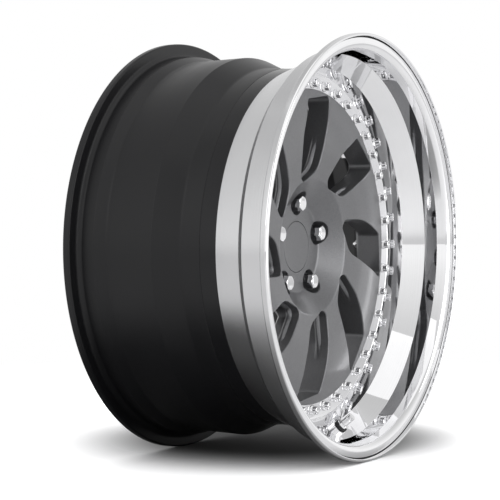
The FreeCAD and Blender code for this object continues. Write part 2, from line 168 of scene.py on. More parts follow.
class WheelCentreSizes(bpy.types.PropertyGroup):
    """Sizes of the painted centre and its cap."""

    spigot_radius: length("Spigot radius", 194.6, "Radius of the centre where it sits in the bolt ring")
    spigot_edge: length("Spigot edge", 54.2, "Place of the face's outer edge along the axle")
    crown: length("Crown", 58.9, "Place of the highest part of the face along the axle")
    crown_outer: length("Crown outer radius", 160.0, "Outer radius of the highest part of the face")
    crown_inner: length("Crown inner radius", 125.0, "Inner radius of the highest part of the face")
    bowl_radius: length("Bowl radius", 84.5, "Radius of the bowl round the lug bolts")
    bowl_rim: length("Bowl rim", 55.3, "Place of the bowl's rim along the axle")
    floor_radius: length("Floor radius", 56.0, "Radius of the bowl's floor")
    floor_face: length("Floor face", 31.0, "Place of the bowl's floor along the axle")
    hub_face: length("Hub face", 8.0, "Place of the face that sits on the hub")
    hub_pad: length("Hub pad", 72.0, "Radius of the face that sits on the hub")
    hub_bore: length("Hub bore", 31.7, "Radius of the bore for the hub")
    spoke_back: length("Spoke back", 24.0, "Place of the spokes' back along the axle")
    flange_radius: length("Flange radius", 212.0, "Radius of the flange clamped behind the rim halves")
    flange_back: length("Flange back", 20.0, "Place of the flange's back along the axle")
    clamp_face: length("Clamp face", 43.3, "Place of the flange's clamped face along the axle")
    edge_round: length("Edge rounding", 1.5, "Rounding of the windows' front edges")
    back_bevel: length("Back bevel", 3.2, "Bevel along the windows' back edges")
    rib_depth: length("Rib depth", 11.0, "How far below the face the rib on a window's wall starts")
    rib_width: length("Rib width", 8.5, "Width of the rib on a window's wall")
    rib_rise: length("Rib rise", 3.2, "How far the rib stands out of a window's wall")
    windows: count("Windows", 8, "Number of windows between the spokes")
    cap_radius: length("Cap radius", 31.6, "Radius of the centre cap")
    cap_thick: length("Cap thickness", 5.5, "Thickness of the centre cap's rim")
    cap_shoulder: length("Cap shoulder", 4.0, "Thickness of the shoulder that the cap's hooks grip")
    cap_bore: length("Cap bore", 28.5, "Radius of the shoulder's bore")
    cap_skirt: length("Cap skirt", 28.2, "Radius of the cap's skirt")


class WheelFastenerSizes(bpy.types.PropertyGroup):
    """Sizes of the bolts, nuts and valve."""

    bolts: count("Assembly bolts", 40, "Number of bolts that clamp the wheel together")
    bolt_circle: length("Bolt circle", 202.3, "Radius of the assembly bolts' circle")
    bolt_collar: length("Bolt collar", 6.4, "Radius of an assembly bolt's collar")
    bolt_collar_thick: length("Collar thickness", 2.4, "Thickness of an assembly bolt's collar")
    bolt_flats: length("Bolt flats", 8.6, "Width across the flats of an assembly bolt's head")
    bolt_rise: length("Bolt head", 6.2, "Height of an assembly bolt's head above its collar")
    bolt_shank: length("Bolt shank", 4.0, "Radius of an assembly bolt's shank")
    bolt_end: length("Bolt end", 8.5, "Place of the assembly bolts' ends along the axle")
    nut_flats: length("Nut flats", 12.0, "Width across the flats of an assembly nut")
    nut_height: length("Nut height", 9.0, "Height of an assembly nut")
    lugs: count("Lug bolts", 5, "Number of lug bolts")
    lug_circle: length("Lug circle", 54.0, "Radius of the lug bolts' circle")
    lug_first: angle("First lug", 90.0, "Turn of the first lug bolt from +X towards +Z")
    lug_flats: length("Lug flats", 17.0, "Width across the flats of a lug bolt")
    lug_face: length("Lug face", 40.6, "Place of the lug bolts' faces along the axle")
    lug_collar: length("Lug collar", 11.4, "Radius of a lug bolt's collar")
    lug_collar_thick: length("Lug collar thickness", 2.5, "Thickness of a lug bolt's collar")
    lug_seat: length("Lug seat", 22.0, "Place of the lug bolts' seats along the axle")
    lug_cone: angle("Lug cone", 30.0, "Lean of a lug bolt's conical seat from its axis")
    lug_shank: length("Lug shank", 7.0, "Radius of a lug bolt's thread")
    lug_pitch: length("Lug pitch", 1.5, "Pitch of a lug bolt's thread")
    lug_thread: length("Lug thread", 0.85, "Depth of a lug bolt's thread")
    lug_neck: length("Lug neck", 6.4, "Radius of a lug bolt's neck in front of its thread")
    lug_neck_start: length("Lug neck start", 0.5, "How far behind the hub face a lug bolt's neck starts")
    lug_reach: length("Lug reach", 28.0, "How far a lug bolt reaches behind the hub face")
    lug_pocket: length("Lug pocket", 14.5, "Radius of the pocket round a lug bolt")
    valve_turn: angle("Valve turn", 270.0, "Turn of the valve from +X towards +Z")
    valve_lean: angle("Valve lean", 50.0, "Lean of the valve towards the street")
    valve_depth: length("Valve depth", 53.3, "Depth of the valve behind the rim's front")
    valve_foot: length("Valve foot", 227.58, "Radius of the dish where the valve's axis meets it")
    valve_seat: length("Valve seat", 11.3, "Height of the valve's seat above the dish wall")
    valve_boss: length("Valve boss", 9.4, "Radius of the boss under the valve")
    grommet_radius: length("Grommet radius", 8.4, "Radius of the valve's rubber grommet")
    grommet_thick: length("Grommet thickness", 4.4, "Thickness of the valve's rubber grommet")
    valve_nut_flats: length("Valve nut flats", 13.0, "Width across the flats of the valve's nut")
    valve_nut_thick: length("Valve nut thickness", 3.6, "Thickness of the valve's nut")
    stem_radius: length("Stem radius", 3.6, "Radius of the valve's stem")
    stem_bore: length("Stem bore", 2.0, "Radius of the bore in the valve's stem")
    stem_rise: length("Stem rise", 10.0, "Length of the stem inside its cap")
    stem_tail: length("Stem tail", 14.0, "Length of the stem on the tyre side")
    valve_cap_radius: length("Valve cap radius", 4.9, "Radius of the valve's cap")
    valve_cap_length: length("Valve cap length", 14.0, "Length of the valve's cap")


class WheelFinishes(bpy.types.PropertyGroup):
    """Colours and finishes of the wheel."""

    polish: colour("Polish", (0.91, 0.91, 0.92), "Colour of the mirror-polished dish")
    turned: colour("Turned metal", (0.69, 0.69, 0.7), "Colour of the turned tyre side of the outer half")
    black: colour("Black paint", (0.007, 0.007, 0.008), "Colour of the inner barrel")
    paint: colour("Centre paint", (0.155, 0.156, 0.162), "Colour of the painted centre and its cap")
    chrome: colour("Chrome", (0.84, 0.84, 0.85), "Colour of the plated bolts, nuts and valve")
    rubber: colour("Rubber", (0.013, 0.013, 0.014), "Colour of the grommet and the seal")
    spring: colour("Spring steel", (0.42, 0.42, 0.44), "Colour of the cap's spring")
    brass: colour("Brass", (0.62, 0.42, 0.16), "Colour of the valve's core")
    polish_roughness: share("Polish roughness", 0.03, "Roughness of the polished dish")
    turned_roughness: share("Turned roughness", 0.24, "Roughness of the turned tyre side")
    paint_roughness: share("Paint roughness", 0.36, "Roughness of the painted centre")
    black_roughness: share("Black roughness", 0.36, "Roughness of the black barrel")
    gloss_roughness: share("Gloss roughness", 0.2, "Roughness of the barrel's glossier band beside the seam")
    chrome_roughness: share("Chrome roughness", 0.07, "Roughness of the plated pieces")
    spring_roughness: share("Spring roughness", 0.3, "Roughness of the cap's spring")
    brass_roughness: share("Brass roughness", 0.25, "Roughness of the valve's core")


class WheelStageSettings(bpy.types.PropertyGroup):
    """Floor, lights and camera."""

    camera_place: position("Camera place", (-1.7698, -1.0050, 0.0413), "Where the camera stands")
    camera_aim: position("Camera aim", (-0.0159, 0.0268, -0.0043), "The point in the middle of the picture")
    camera_lens: FloatProperty(name="Lens", description="Focal length of the camera in millimetres",
                               default=116.98, min=1.0, unit="CAMERA")
    floor: colour("Floor", (0.97, 0.97, 0.975), "Colour of the floor as it is seen")
    floor_gain: FloatProperty(name="Floor gain", default=2.0, min=0.0,
                              description="How much brighter the floor is seen than it is lit")
    fade_start: length("Fade start", 450.0, "Distance from the wheel where the floor starts to turn white")
    fade_end: length("Fade end", 1300.0, "Distance from the wheel where the floor is all white")
    # A painted shadow on the floor under the wheel, which only the camera sees
    painted_shadow_place: position("Contact place", (0.12, 0.07, 0.0), "Middle of the darker floor under the wheel")
    painted_shadow_wide: length("Contact width", 300.0, "Reach of the darker floor to the wheel's sides")
    painted_shadow_long: length("Contact length", 294.0, "Reach of the darker floor along the axle")
    painted_shadow_core: share("Contact core", 0.42, "Share of that reach where the floor is darkest")
    painted_shadow_shade: share("Contact shade", 0.08, "Brightness of the floor right under the wheel")
    bounce: share("Bounce", 0.95, "Share of light that the open floor sends back at the wheel")
    # Painted shade on the floor close under the barrel, in the light the floor sends back at the wheel
    painted_shade_bounce: share("Near bounce", 0.11, "Share of light that the floor under the wheel sends back at it")
    painted_shade_place: position("Near place", (-0.12, 0.12, 0.0), "Middle of the shaded floor under the barrel")
    painted_shade_end: length("Near end", 420.0, "Distance from there where the floor is open")
    painted_shade_core: share("Near core", 0.43, "Share of that distance where the floor is fully shaded")
    sky: share("Sky", 1.0, "Brightness of the surroundings beside the wheel")
    zenith: share("Zenith", 0.6, "Share of that brightness right above the wheel")
    ground: share("Ground", 0.03, "Brightness of the surroundings below the wheel")


def in_millimetres(settings):
    """A settings group with its lengths in millimetres, and the rest as it is."""
    values = {}
    for name in settings.__annotations__:
        value = getattr(settings, name)
        is_length = settings.bl_rna.properties[name].unit == "LENGTH"
        values[name] = value / MM if is_length else value
    return SimpleNamespace(**values)


def rounded(corners):
    """Closed outline through (a, b, radius) corners, each rounded off by its radius."""
    outline = []
    for i, (a, b, radius) in enumerate(corners):
        corner = Vector((a, b))
        before = (Vector(corners[i - 1][:2]) - corner).normalized()
        after = (Vector(corners[(i + 1) % len(corners)][:2]) - corner).normalized()
        if radius == CORNER:
            outline.append(corner)
            continue
        half = before.angle(after) / 2.0
        middle = corner + (before + after).normalized() * (radius / math.sin(half))
        first = corner + before * (radius / math.tan(half)) - middle
        last = corner + after * (radius / math.tan(half)) - middle
        start = math.atan2(first.y, first.x)
        sweep = math.remainder(math.atan2(last.y, last.x) - start, FULL_TURN)
        for k in range(ARC_STEPS + 1):
            turn = start + sweep * k / ARC_STEPS
            outline.append(middle + Vector((math.cos(turn), math.sin(turn))) * radius)
    return outline


def divided(outline, longest):
    """The closed outline with its long runs cut into pieces of at most the given length."""
    points = []
    for i, point in enumerate(outline):
        following = outline[(i + 1) % len(outline)]
        pieces = max(1, math.ceil((following - point).length / longest))
        points += [point.lerp(following, k / pieces) for k in range(pieces)]
    return points


def new_piece(name, rings, closed_ends, materials=(), bands=None):
    """A mesh through rings of points in millimetres; without closed ends the last ring meets the first."""
    sides = len(rings[0])
    verts = [Vector(point) * MM for ring in rings for point in ring]
    faces = []
    marks = []
    spans = len(rings) - 1 if closed_ends else len(rings)
    for k in range(spans):
        low, high = k * sides, (k + 1) % len(rings) * sides
        for j in range(sides):
            after = (j + 1) % sides
            faces.append((low + j, low + after, high + after, high + j))
            marks.append(bands[j] if bands else 0)
    if closed_ends:
        faces.append(tuple(range(sides)))
        faces.append(tuple(range((len(rings) - 1) * sides, len(rings) * sides)))
        marks += [0, 0]
    mesh = bpy.data.meshes.new(name)
    mesh.from_pydata(verts, [], faces)
    mesh.polygons.foreach_set("material_index", marks)
    for material in materials:
        mesh.materials.append(material)
    face_outwards(mesh)
    return linked(name, mesh)


def linked(name, data):
    """A new object in the scene."""
    made = bpy.data.objects.new(name, data)
    bpy.context.scene.collection.objects.link(made)
    return made


def face_outwards(mesh):
    """Merge points that meet and turn all faces outwards."""
    merge = 0.001 * MM
    work = bmesh.new()
    work.from_mesh(mesh)
    bmesh.ops.remove_doubles(work, verts=work.verts, dist=merge)
    bmesh.ops.recalc_face_normals(work, faces=work.faces)
    work.to_mesh(mesh)
    work.free()


def lathe(name, outline, materials, bands=None):
    """A ring or disc turned about the axle from an outline of (s, radius) points."""
    rings = []
    for k in range(LATHE_SEGMENTS):
        turn = FULL_TURN * k / LATHE_SEGMENTS
        rings.append([(r * math.cos(turn), -s, r * math.sin(turn)) for s, r in outline])
    return new_piece(name, rings, False, materials, bands)


def section_radius(turn, circle, flats=0.0, points=0):
    """Radius of a round, six-point or twelve-point section at a turn, trimmed by a circle."""
    if points == 0:
        return circle
    step = FULL_TURN / HEX
    corner = flats / 2.0 / math.cos((turn % step) - step / 2.0)
    if points == TWELVE_POINT:
        shifted = flats / 2.0 / math.cos(((turn + step / 2.0) % step) - step / 2.0)
        corner = max(corner, shifted)
    return min(circle, corner)


def stack(levels, place, sides=HEAD_SIDES):
    """Rings of a fastener, set out by a matrix.

    A level is (height, radius) where it is round, and (height, circle, flats, points) where it has flats.
    """
    rings = []
    for height, *section in levels:
        ring = []
        for j in range(sides):
            turn = FULL_TURN * j / sides
            radius = section_radius(turn, *section)
            ring.append(place @ Vector((radius * math.cos(turn), radius * math.sin(turn), height)))
        rings.append(ring)
    return rings


def joined(name, pieces):
    """One piece made of several."""
    work = bmesh.new()
    for piece in pieces:
        work.from_mesh(piece.data)
    mesh = bpy.data.meshes.new(name)
    work.to_mesh(mesh)
    work.free()
    for material in pieces[0].data.materials:
        mesh.materials.append(material)
    for piece in pieces:
        discard(piece)
    return linked(name, mesh)


def discard(piece):
    mesh = piece.data
    bpy.data.objects.remove(piece)
    bpy.data.meshes.remove(mesh)


def combine(piece, tool, operation):
    """Cut a tool out of a piece or join it on."""
    step = piece.modifiers.new("Combine", "BOOLEAN")
    step.operation = operation
    step.solver = "EXACT"
    step.object = tool
    state = bpy.context.evaluated_depsgraph_get()
    made = bpy.data.meshes.new_from_object(piece.evaluated_get(state))
    old = piece.data
    piece.modifiers.clear()
    piece.data = made
    made.name = old.name
    bpy.data.meshes.remove(old)
    discard(tool)


def finish_piece(piece, nodes, crisp):
    """Smooth a piece up to an edge angle and let it stand for its CAD nodes."""
    piece.data.shade_smooth()
    piece.data.set_sharp_from_angle(angle=math.radians(crisp))
    weights = piece.modifiers.new("Weighted normals", "WEIGHTED_NORMAL")
    weights.keep_sharp = True
    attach(piece, BODY)
    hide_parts(*nodes)


def dress_node(node, material):
    """Give a CAD node that stays as it is its finish."""
    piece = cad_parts[node]
    piece.data.materials.clear()
    piece.data.materials.append(material)


def placing(across, beside, height, spot):
    """Matrix that sets a piece out along three directions from a spot."""
    return Matrix.Translation(spot) @ Matrix((across, beside, height)).transposed().to_4x4()


def towards_street(radius, turn):
    """Placing matrix whose height runs along the axle to the street, at a radius and a turn."""
    out = Vector((math.cos(turn), 0.0, math.sin(turn)))
    return placing(out, STREET.cross(out), STREET, out * radius)


def valve_place(rim, parts):
    """Placing matrix of the valve: its height runs along the stem from the dish wall."""
    s = rim.half_width + rim.flange_reach - parts.valve_depth
    out = Vector((math.cos(parts.valve_turn), 0.0, math.sin(parts.valve_turn)))
    axis = STREET * math.sin(parts.valve_lean) - out * math.cos(parts.valve_lean)
    across = axis.cross(out).normalized()
    return placing(across, axis.cross(across), axis, out * parts.valve_foot + STREET * s)


def dish_radius(rim, s):
    """Radius of the polished dish's flared wall at a place along the axle."""
    part = (s - rim.step_top) / (rim.flare_top - rim.step_top)
    return rim.step_radius + (rim.flare_radius - rim.step_radius) * part


def new_group(name, inputs, outputs):
    """An empty shader node group with float inputs and outputs, and its two end nodes."""
    tree = bpy.data.node_groups.new(name, "ShaderNodeTree")
    for label, value in inputs:
        socket = tree.interface.new_socket(label, in_out="INPUT", socket_type="NodeSocketFloat")
        socket.default_value = value
    for label in outputs:
        tree.interface.new_socket(label, in_out="OUTPUT", socket_type="NodeSocketFloat")
    return tree, tree.nodes.new("NodeGroupInput"), tree.nodes.new("NodeGroupOutput")


def feed(tree, value, socket):
    """Link a socket to an input, or set a plain value on it."""
    if isinstance(value, bpy.types.NodeSocket):
        tree.links.new(value, socket)
    else:
        socket.default_value = value


def math_node(tree, operation, first, second=None):
    """A math node fed by sockets or plain numbers; gives its result."""
    node = tree.nodes.new("ShaderNodeMath")
    node.operation = operation
    feed(tree, first, node.inputs[0])
    if second is not None:
        feed(tree, second, node.inputs[1])
    return node.outputs["Value"]


def vector_node(tree, operation, first, second=None):
    """A vector math node fed by a socket and, if given, a fixed vector; gives its outputs."""
    node = tree.nodes.new("ShaderNodeVectorMath")
    node.operation = operation
    tree.links.new(first, node.inputs[0])
    if second is not None:
        node.inputs[1].default_value = second
    return node.outputs


def noise_node(tree, vector, scale, detail, roughness):
    node = tree.nodes.new("ShaderNodeTexNoise")
    node.inputs["Detail"].default_value = detail
    node.inputs["Roughness"].default_value = roughness
    tree.links.new(vector, node.inputs["Vector"])
    feed(tree, scale, node.inputs["Scale"])
    return node.outputs["Fac"]


def range_node(tree, value, limits, results, blend="LINEAR"):
    """A value between two limits, spread over two results."""
    node = tree.nodes.new("ShaderNodeMapRange")
    node.interpolation_type = blend
    tree.links.new(value, node.inputs["Value"])
    node.inputs["From Min"].default_value, node.inputs["From Max"].default_value = limits
    node.inputs["To Min"].default_value, node.inputs["To Max"].default_value = results
    return node.outputs["Result"]


def mixed(tree, factor, first, second):
    """Colour between two colours or sockets by a factor."""
    mix = tree.nodes.new("ShaderNodeMix")
    mix.data_type = "RGBA"
    tree.links.new(factor, mix.inputs["Factor"])
    colours = [socket for socket in mix.inputs if socket.type == "RGBA"]
    for socket, value in zip(colours, (first, second)):
        feed(tree, value if isinstance(value, bpy.types.NodeSocket) else (*value, 1.0), socket)
    return next(socket for socket in mix.outputs if socket.type == "RGBA")


def turning_marks_group():
    """Fine rings left by a lathe: they follow the place along the axle and the radius."""
    tree, start, end = new_group("Turning marks", [("Density", 900.0)], ["Lines", "Bands"])
    spot = tree.nodes.new("ShaderNodeTexCoord")
    split = tree.nodes.new("ShaderNodeSeparateXYZ")
    tree.links.new(spot.outputs["Object"], split.inputs["Vector"])
    across = math_node(tree, "MULTIPLY", split.outputs["X"], split.outputs["X"])
    up = math_node(tree, "MULTIPLY", split.outputs["Z"], split.outputs["Z"])
    radius = math_node(tree, "SQRT", math_node(tree, "ADD", across, up))
    ring = tree.nodes.new("ShaderNodeCombineXYZ")
    tree.links.new(radius, ring.inputs["X"])
    tree.links.new(split.outputs["Y"], ring.inputs["Y"])
    density = start.outputs["Density"]
    lines = noise_node(tree, ring.outputs["Vector"], density, detail=4.0, roughness=0.6)
    tree.links.new(lines, end.inputs["Lines"])
    band_share = 0.08
    slow = math_node(tree, "MULTIPLY", density, band_share)
    bands = noise_node(tree, ring.outputs["Vector"], slow, detail=2.0, roughness=0.5)
    tree.links.new(bands, end.inputs["Bands"])
    return tree


def handling_group():
    """Soft uneven sheen over a surface, with small scattered specks."""
    tree, start, end = new_group("Handling", [("Scale", 14.0), ("Specks", 260.0)], ["Sheen", "Speck"])
    spot = tree.nodes.new("ShaderNodeTexCoord").outputs["Object"]
    sheen = noise_node(tree, spot, start.outputs["Scale"], detail=5.0, roughness=0.55)
    tree.links.new(sheen, end.inputs["Sheen"])
    fine = noise_node(tree, spot, start.outputs["Specks"], detail=2.0, roughness=0.5)
    tree.links.new(range_node(tree, fine, SPECK_SPREAD, (0.0, 1.0)), end.inputs["Speck"])
    return tree


def flake_group():
    """Metal flake in paint, and the paint's slight waviness."""
    tree, start, end = new_group("Flake", [("Grain", 2600.0), ("Peel", 420.0)], ["Flake", "Peel"])
    spot = tree.nodes.new("ShaderNodeTexCoord").outputs["Object"]
    cells = tree.nodes.new("ShaderNodeTexVoronoi")
    tree.links.new(spot, cells.inputs["Vector"])
    tree.links.new(start.outputs["Grain"], cells.inputs["Scale"])
    pick = tree.nodes.new("ShaderNodeSeparateColor")
    tree.links.new(cells.outputs["Color"], pick.inputs["Color"])
    tree.links.new(pick.outputs["Red"], end.inputs["Flake"])
    peel = noise_node(tree, spot, start.outputs["Peel"], detail=2.0, roughness=0.5)
    tree.links.new(peel, end.inputs["Peel"])
    return tree


def new_material(name, metallic):
    """A material with one Principled shader; gives the material, its tree and the shader."""
    material = bpy.data.materials.new(name)
    material.use_nodes = True
    tree = material.node_tree
    shader = next(node for node in tree.nodes if node.type == "BSDF_PRINCIPLED")
    shader.inputs["Metallic"].default_value = metallic
    return material, tree, shader


def use_group(tree, group, **values):
    node = tree.nodes.new("ShaderNodeGroup")
    node.node_tree = group
    for label, value in values.items():
        node.inputs[label].default_value = value
    return node.outputs


def tint(tree, shader, mask, shade, darkest, lightest):
    """Base colour between a darker and a lighter share of a shade, by a mask."""
    dark = [min(1.0, part * darkest) for part in shade]
    light = [min(1.0, part * lightest) for part in shade]
    tree.links.new(mixed(tree, mask, dark, light), shader.inputs["Base Color"])


def roughen(tree, shader, mask, limits, low, high):
    """Roughness between two values by a mask."""
    tree.links.new(range_node(tree, mask, limits, (low, high)), shader.inputs["Roughness"])


def relief(tree, shader, height, strength, distance):
    bump = tree.nodes.new("ShaderNodeBump")
    bump.inputs["Strength"].default_value = strength
    bump.inputs["Distance"].default_value = distance * MM
    tree.links.new(height, bump.inputs["Height"])
    tree.links.new(bump.outputs["Normal"], shader.inputs["Normal"])


def averaged(tree, first, second):
    return math_node(tree, "MULTIPLY", math_node(tree, "ADD", first, second), 0.5)


def ringed_metal(name, groups, shade, roughness, spread, density, depth):
    """Bare metal with lathe rings."""
    material, tree, shader = new_material(name, metallic=1.0)
    marks = use_group(tree, groups["marks"], Density=density)
    sheen = use_group(tree, groups["handling"])
    mask = averaged(tree, marks["Lines"], sheen["Sheen"])
    tint(tree, shader, range_node(tree, mask, NOISE_SPREAD, (0.0, 1.0)), shade, darkest=0.93, lightest=1.05)
    roughen(tree, shader, mask, NOISE_SPREAD, roughness - spread, roughness + spread)
    relief(tree, shader, marks["Lines"], strength=0.25, distance=depth)
    return material


def plated_metal(name, groups, shade, roughness):
    """Plated or drawn metal with a soft uneven sheen."""
    smoothest, roughest = 0.7, 1.4
    material, tree, shader = new_material(name, metallic=1.0)
    sheen = use_group(tree, groups["handling"], Scale=90.0, Specks=900.0)["Sheen"]
    tint(tree, shader, sheen, shade, darkest=0.9, lightest=1.06)
    roughen(tree, shader, sheen, SHEEN_SPREAD, roughness * smoothest, roughness * roughest)
    relief(tree, shader, sheen, strength=0.06, distance=0.05)
    return material


def flake_paint(name, groups, shade, roughness):
    """Metallic paint under a thin clear coat."""
    smoother, rougher = 0.04, 0.05
    material, tree, shader = new_material(name, metallic=0.7)
    flake = use_group(tree, groups["flake"])
    sheen = use_group(tree, groups["handling"], Scale=9.0)
    tint(tree, shader, flake["Flake"], shade, darkest=0.8, lightest=1.25)
    roughen(tree, shader, sheen["Sheen"], SHEEN_SPREAD, roughness - smoother, roughness + rougher)
    shader.inputs["Coat Weight"].default_value = 0.3
    shader.inputs["Coat Roughness"].default_value = 0.14
    relief(tree, shader, flake["Peel"], strength=0.08, distance=0.05)
    return material


def satin_black(name, groups, shade, roughness):
    """Black paint with the turned metal's rings faintly showing through."""
    spread = 0.05
    material, tree, shader = new_material(name, metallic=0.0)
    marks = use_group(tree, groups["marks"], Density=500.0)
    sheen = use_group(tree, groups["handling"], Scale=11.0)
    flake = use_group(tree, groups["flake"], Peel=700.0)
    tint(tree, shader, sheen["Sheen"], shade, darkest=0.75, lightest=1.35)
    mask = averaged(tree, marks["Bands"], sheen["Sheen"])
    roughen(tree, shader, mask, NOISE_SPREAD, roughness - spread, roughness + spread)
    shader.inputs["Specular IOR Level"].default_value = 0.32
    shader.inputs["Coat Weight"].default_value = 0.04
    shader.inputs["Coat Roughness"].default_value = 0.2
    relief(tree, shader, flake["Peel"], strength=0.12, distance=0.04)
    return material


def moulded_rubber(name, groups, shade):
    """Matt rubber with a fine grain."""
    smoothest, roughest = 0.52, 0.7
    material, tree, shader = new_material(name, metallic=0.0)
    flake = use_group(tree, groups["flake"], Grain=3200.0, Peel=2400.0)
    sheen = use_group(tree, groups["handling"], Scale=60.0)
    tint(tree, shader, sheen["Sheen"], shade, darkest=0.7, lightest=1.5)
    roughen(tree, shader, flake["Peel"], NOISE_SPREAD, smoothest, roughest)
    relief(tree, shader, flake["Peel"], strength=0.3, distance=0.06)
    return material


def finish_materials(context):
    """The wheel's materials by name, made once."""
    looks = context.scene.wheel_finishes
    if "Polished dish" in bpy.data.materials:
        return bpy.data.materials
    groups = {"marks": turning_marks_group(), "handling": handling_group(), "flake": flake_group()}
    ringed_metal("Polished dish", groups, looks.polish, looks.polish_roughness,
                 spread=0.012, density=1100.0, depth=0.001)
    ringed_metal("Turned metal", groups, looks.turned, looks.turned_roughness,
                 spread=0.05, density=1500.0, depth=0.006)
    satin_black("Satin black", groups, looks.black, looks.black_roughness)
    satin_black("Gloss black", groups, looks.black, looks.gloss_roughness)
    flake_paint("Centre paint", groups, looks.paint, looks.paint_roughness)
    plated_metal("Chrome", groups, looks.chrome, looks.chrome_roughness)
    plated_metal("Spring steel", groups, looks.spring, looks.spring_roughness)
    plated_metal("Brass", groups, looks.brass, looks.brass_roughness)
    moulded_rubber("Rubber", groups, looks.rubber)
    return bpy.data.materials


def lip_outline(rim):
    """Outline of the outer half and, for each point, 0 on the dish, 1 on the tyre side and 2 in the line."""
    seat_width = 33.0
    seat_drop = 1.0
    hump_run = 8.0
    hump_drop = 7.6
    hump_round = 5.0
    line_inset = 0.6
    line_width = 0.8
    line_slope = 0.2
    flange_foot = 1.0
    flange_hollow = 9.0
    dish_top_round = 2.0
    wall_round = 1.2
    ring_fillet = 0.8
    seam = rim.ring_face - rim.ring_thick
    seat_edge = rim.half_width - seat_width
    seat_radius = rim.bead_radius - seat_drop
    tyre_side = [
        (seam, rim.ring_bore, EDGE_BREAK),
        (seam, rim.well_radius, SEAM_ROUND),
        (seat_edge - hump_run, seat_radius - hump_drop, hump_round),
        (seat_edge, seat_radius, wall_round),
        (rim.half_width, rim.bead_radius, rim.bead_fillet),
        (rim.half_width, rim.flange_radius, rim.edge_round),
    ]
    front = rim.half_width + rim.flange_reach
    flange_face = rim.half_width + rim.flange_wall
    inner_edge = rim.flange_radius - rim.edge_thick
    line_floor = flange_face - rim.line_depth
    line_start = inner_edge - line_inset
    floor_start = line_start - line_slope
    floor_end = floor_start - line_width
    dish_side = [
        (front, rim.flange_radius, rim.edge_round),
        (front, inner_edge, RIM_EDGE_ROUND),
        (flange_face, line_start, LINE_ROUND),
        (line_floor, floor_start, LINE_ROUND),
        (line_floor, floor_end, LINE_ROUND),
        (flange_face, floor_end - line_slope, LINE_ROUND),
        (flange_face, rim.bead_radius - flange_foot, flange_hollow),
        (rim.dish_top, rim.dish_top_radius, dish_top_round),
        (rim.flare_top, rim.flare_radius, wall_round),
        (rim.step_top, rim.step_radius, wall_round),
        (rim.ring_face, rim.ring_corner, ring_fillet),
        (rim.ring_face, rim.ring_bore, BORE_ROUND),
    ]
    outline = rounded(tyre_side + dish_side)
    corner_points = ARC_STEPS + 1
    first_dish = len(tyre_side) * corner_points
    bands = [1 if ARC_STEPS < k < first_dish else 0 for k in range(len(outline))]
    # Band 2 is the fine line, whose black is painted shade in its groove
    corners_before_line = 3
    line_first = first_dish + corners_before_line * corner_points - 1
    for k in range(line_first, line_first + 2 * corner_points + 1):
        bands[k] = 2
    return outline, bands


def boss_rings(rim, parts):
    """Rings of the valve's boss; its foot ends inside the dish wall."""
    place = valve_place(rim, parts)
    foot_depth = 2.0
    edge = 1.0
    edge_break = 0.3 * edge
    farthest = 60.0
    halvings = 40
    top = parts.valve_seat
    rings = stack([
        (top - edge, parts.valve_boss),
        (top - edge_break, parts.valve_boss - edge_break),
        (top, parts.valve_boss - edge),
    ], place)
    axis = place.to_3x3() @ Vector((0.0, 0.0, 1.0))
    foot = []
    for point in rings[0]:
        low, high = 0.0, farthest
        for _ in range(halvings):
            reach = (low + high) / 2.0
            spot = point - axis * reach
            inside = math.hypot(spot.x, spot.z) < dish_radius(rim, -spot.y) + foot_depth
            low, high = (reach, high) if inside else (low, reach)
        foot.append(point - axis * low)
    return [foot] + rings


class WHEEL_OT_outer_lip(bpy.types.Operator):
    """Build the polished outer half with the valve's boss"""

    bl_idname = "wheel.outer_lip"
    bl_label = "Outer lip"

    def execute(self, context):
        rim = in_millimetres(context.scene.wheel_rim)
        parts = in_millimetres(context.scene.wheel_fasteners)
        looks = finish_materials(context)
        outline, bands = lip_outline(rim)
        # The third finish paints the fine line beside the flange black, as painted shade in its groove
        metals = [looks["Polished dish"], looks["Turned metal"], looks["Satin black"]]
        lip = lathe("Outer_lip", outline, metals, bands)
        boss = new_piece("Valve_boss", boss_rings(rim, parts), True, metals)
        combine(lip, boss, "UNION")
        finish_piece(lip, ["outer_lip"], RIM_CRISP)
        return {"FINISHED"}


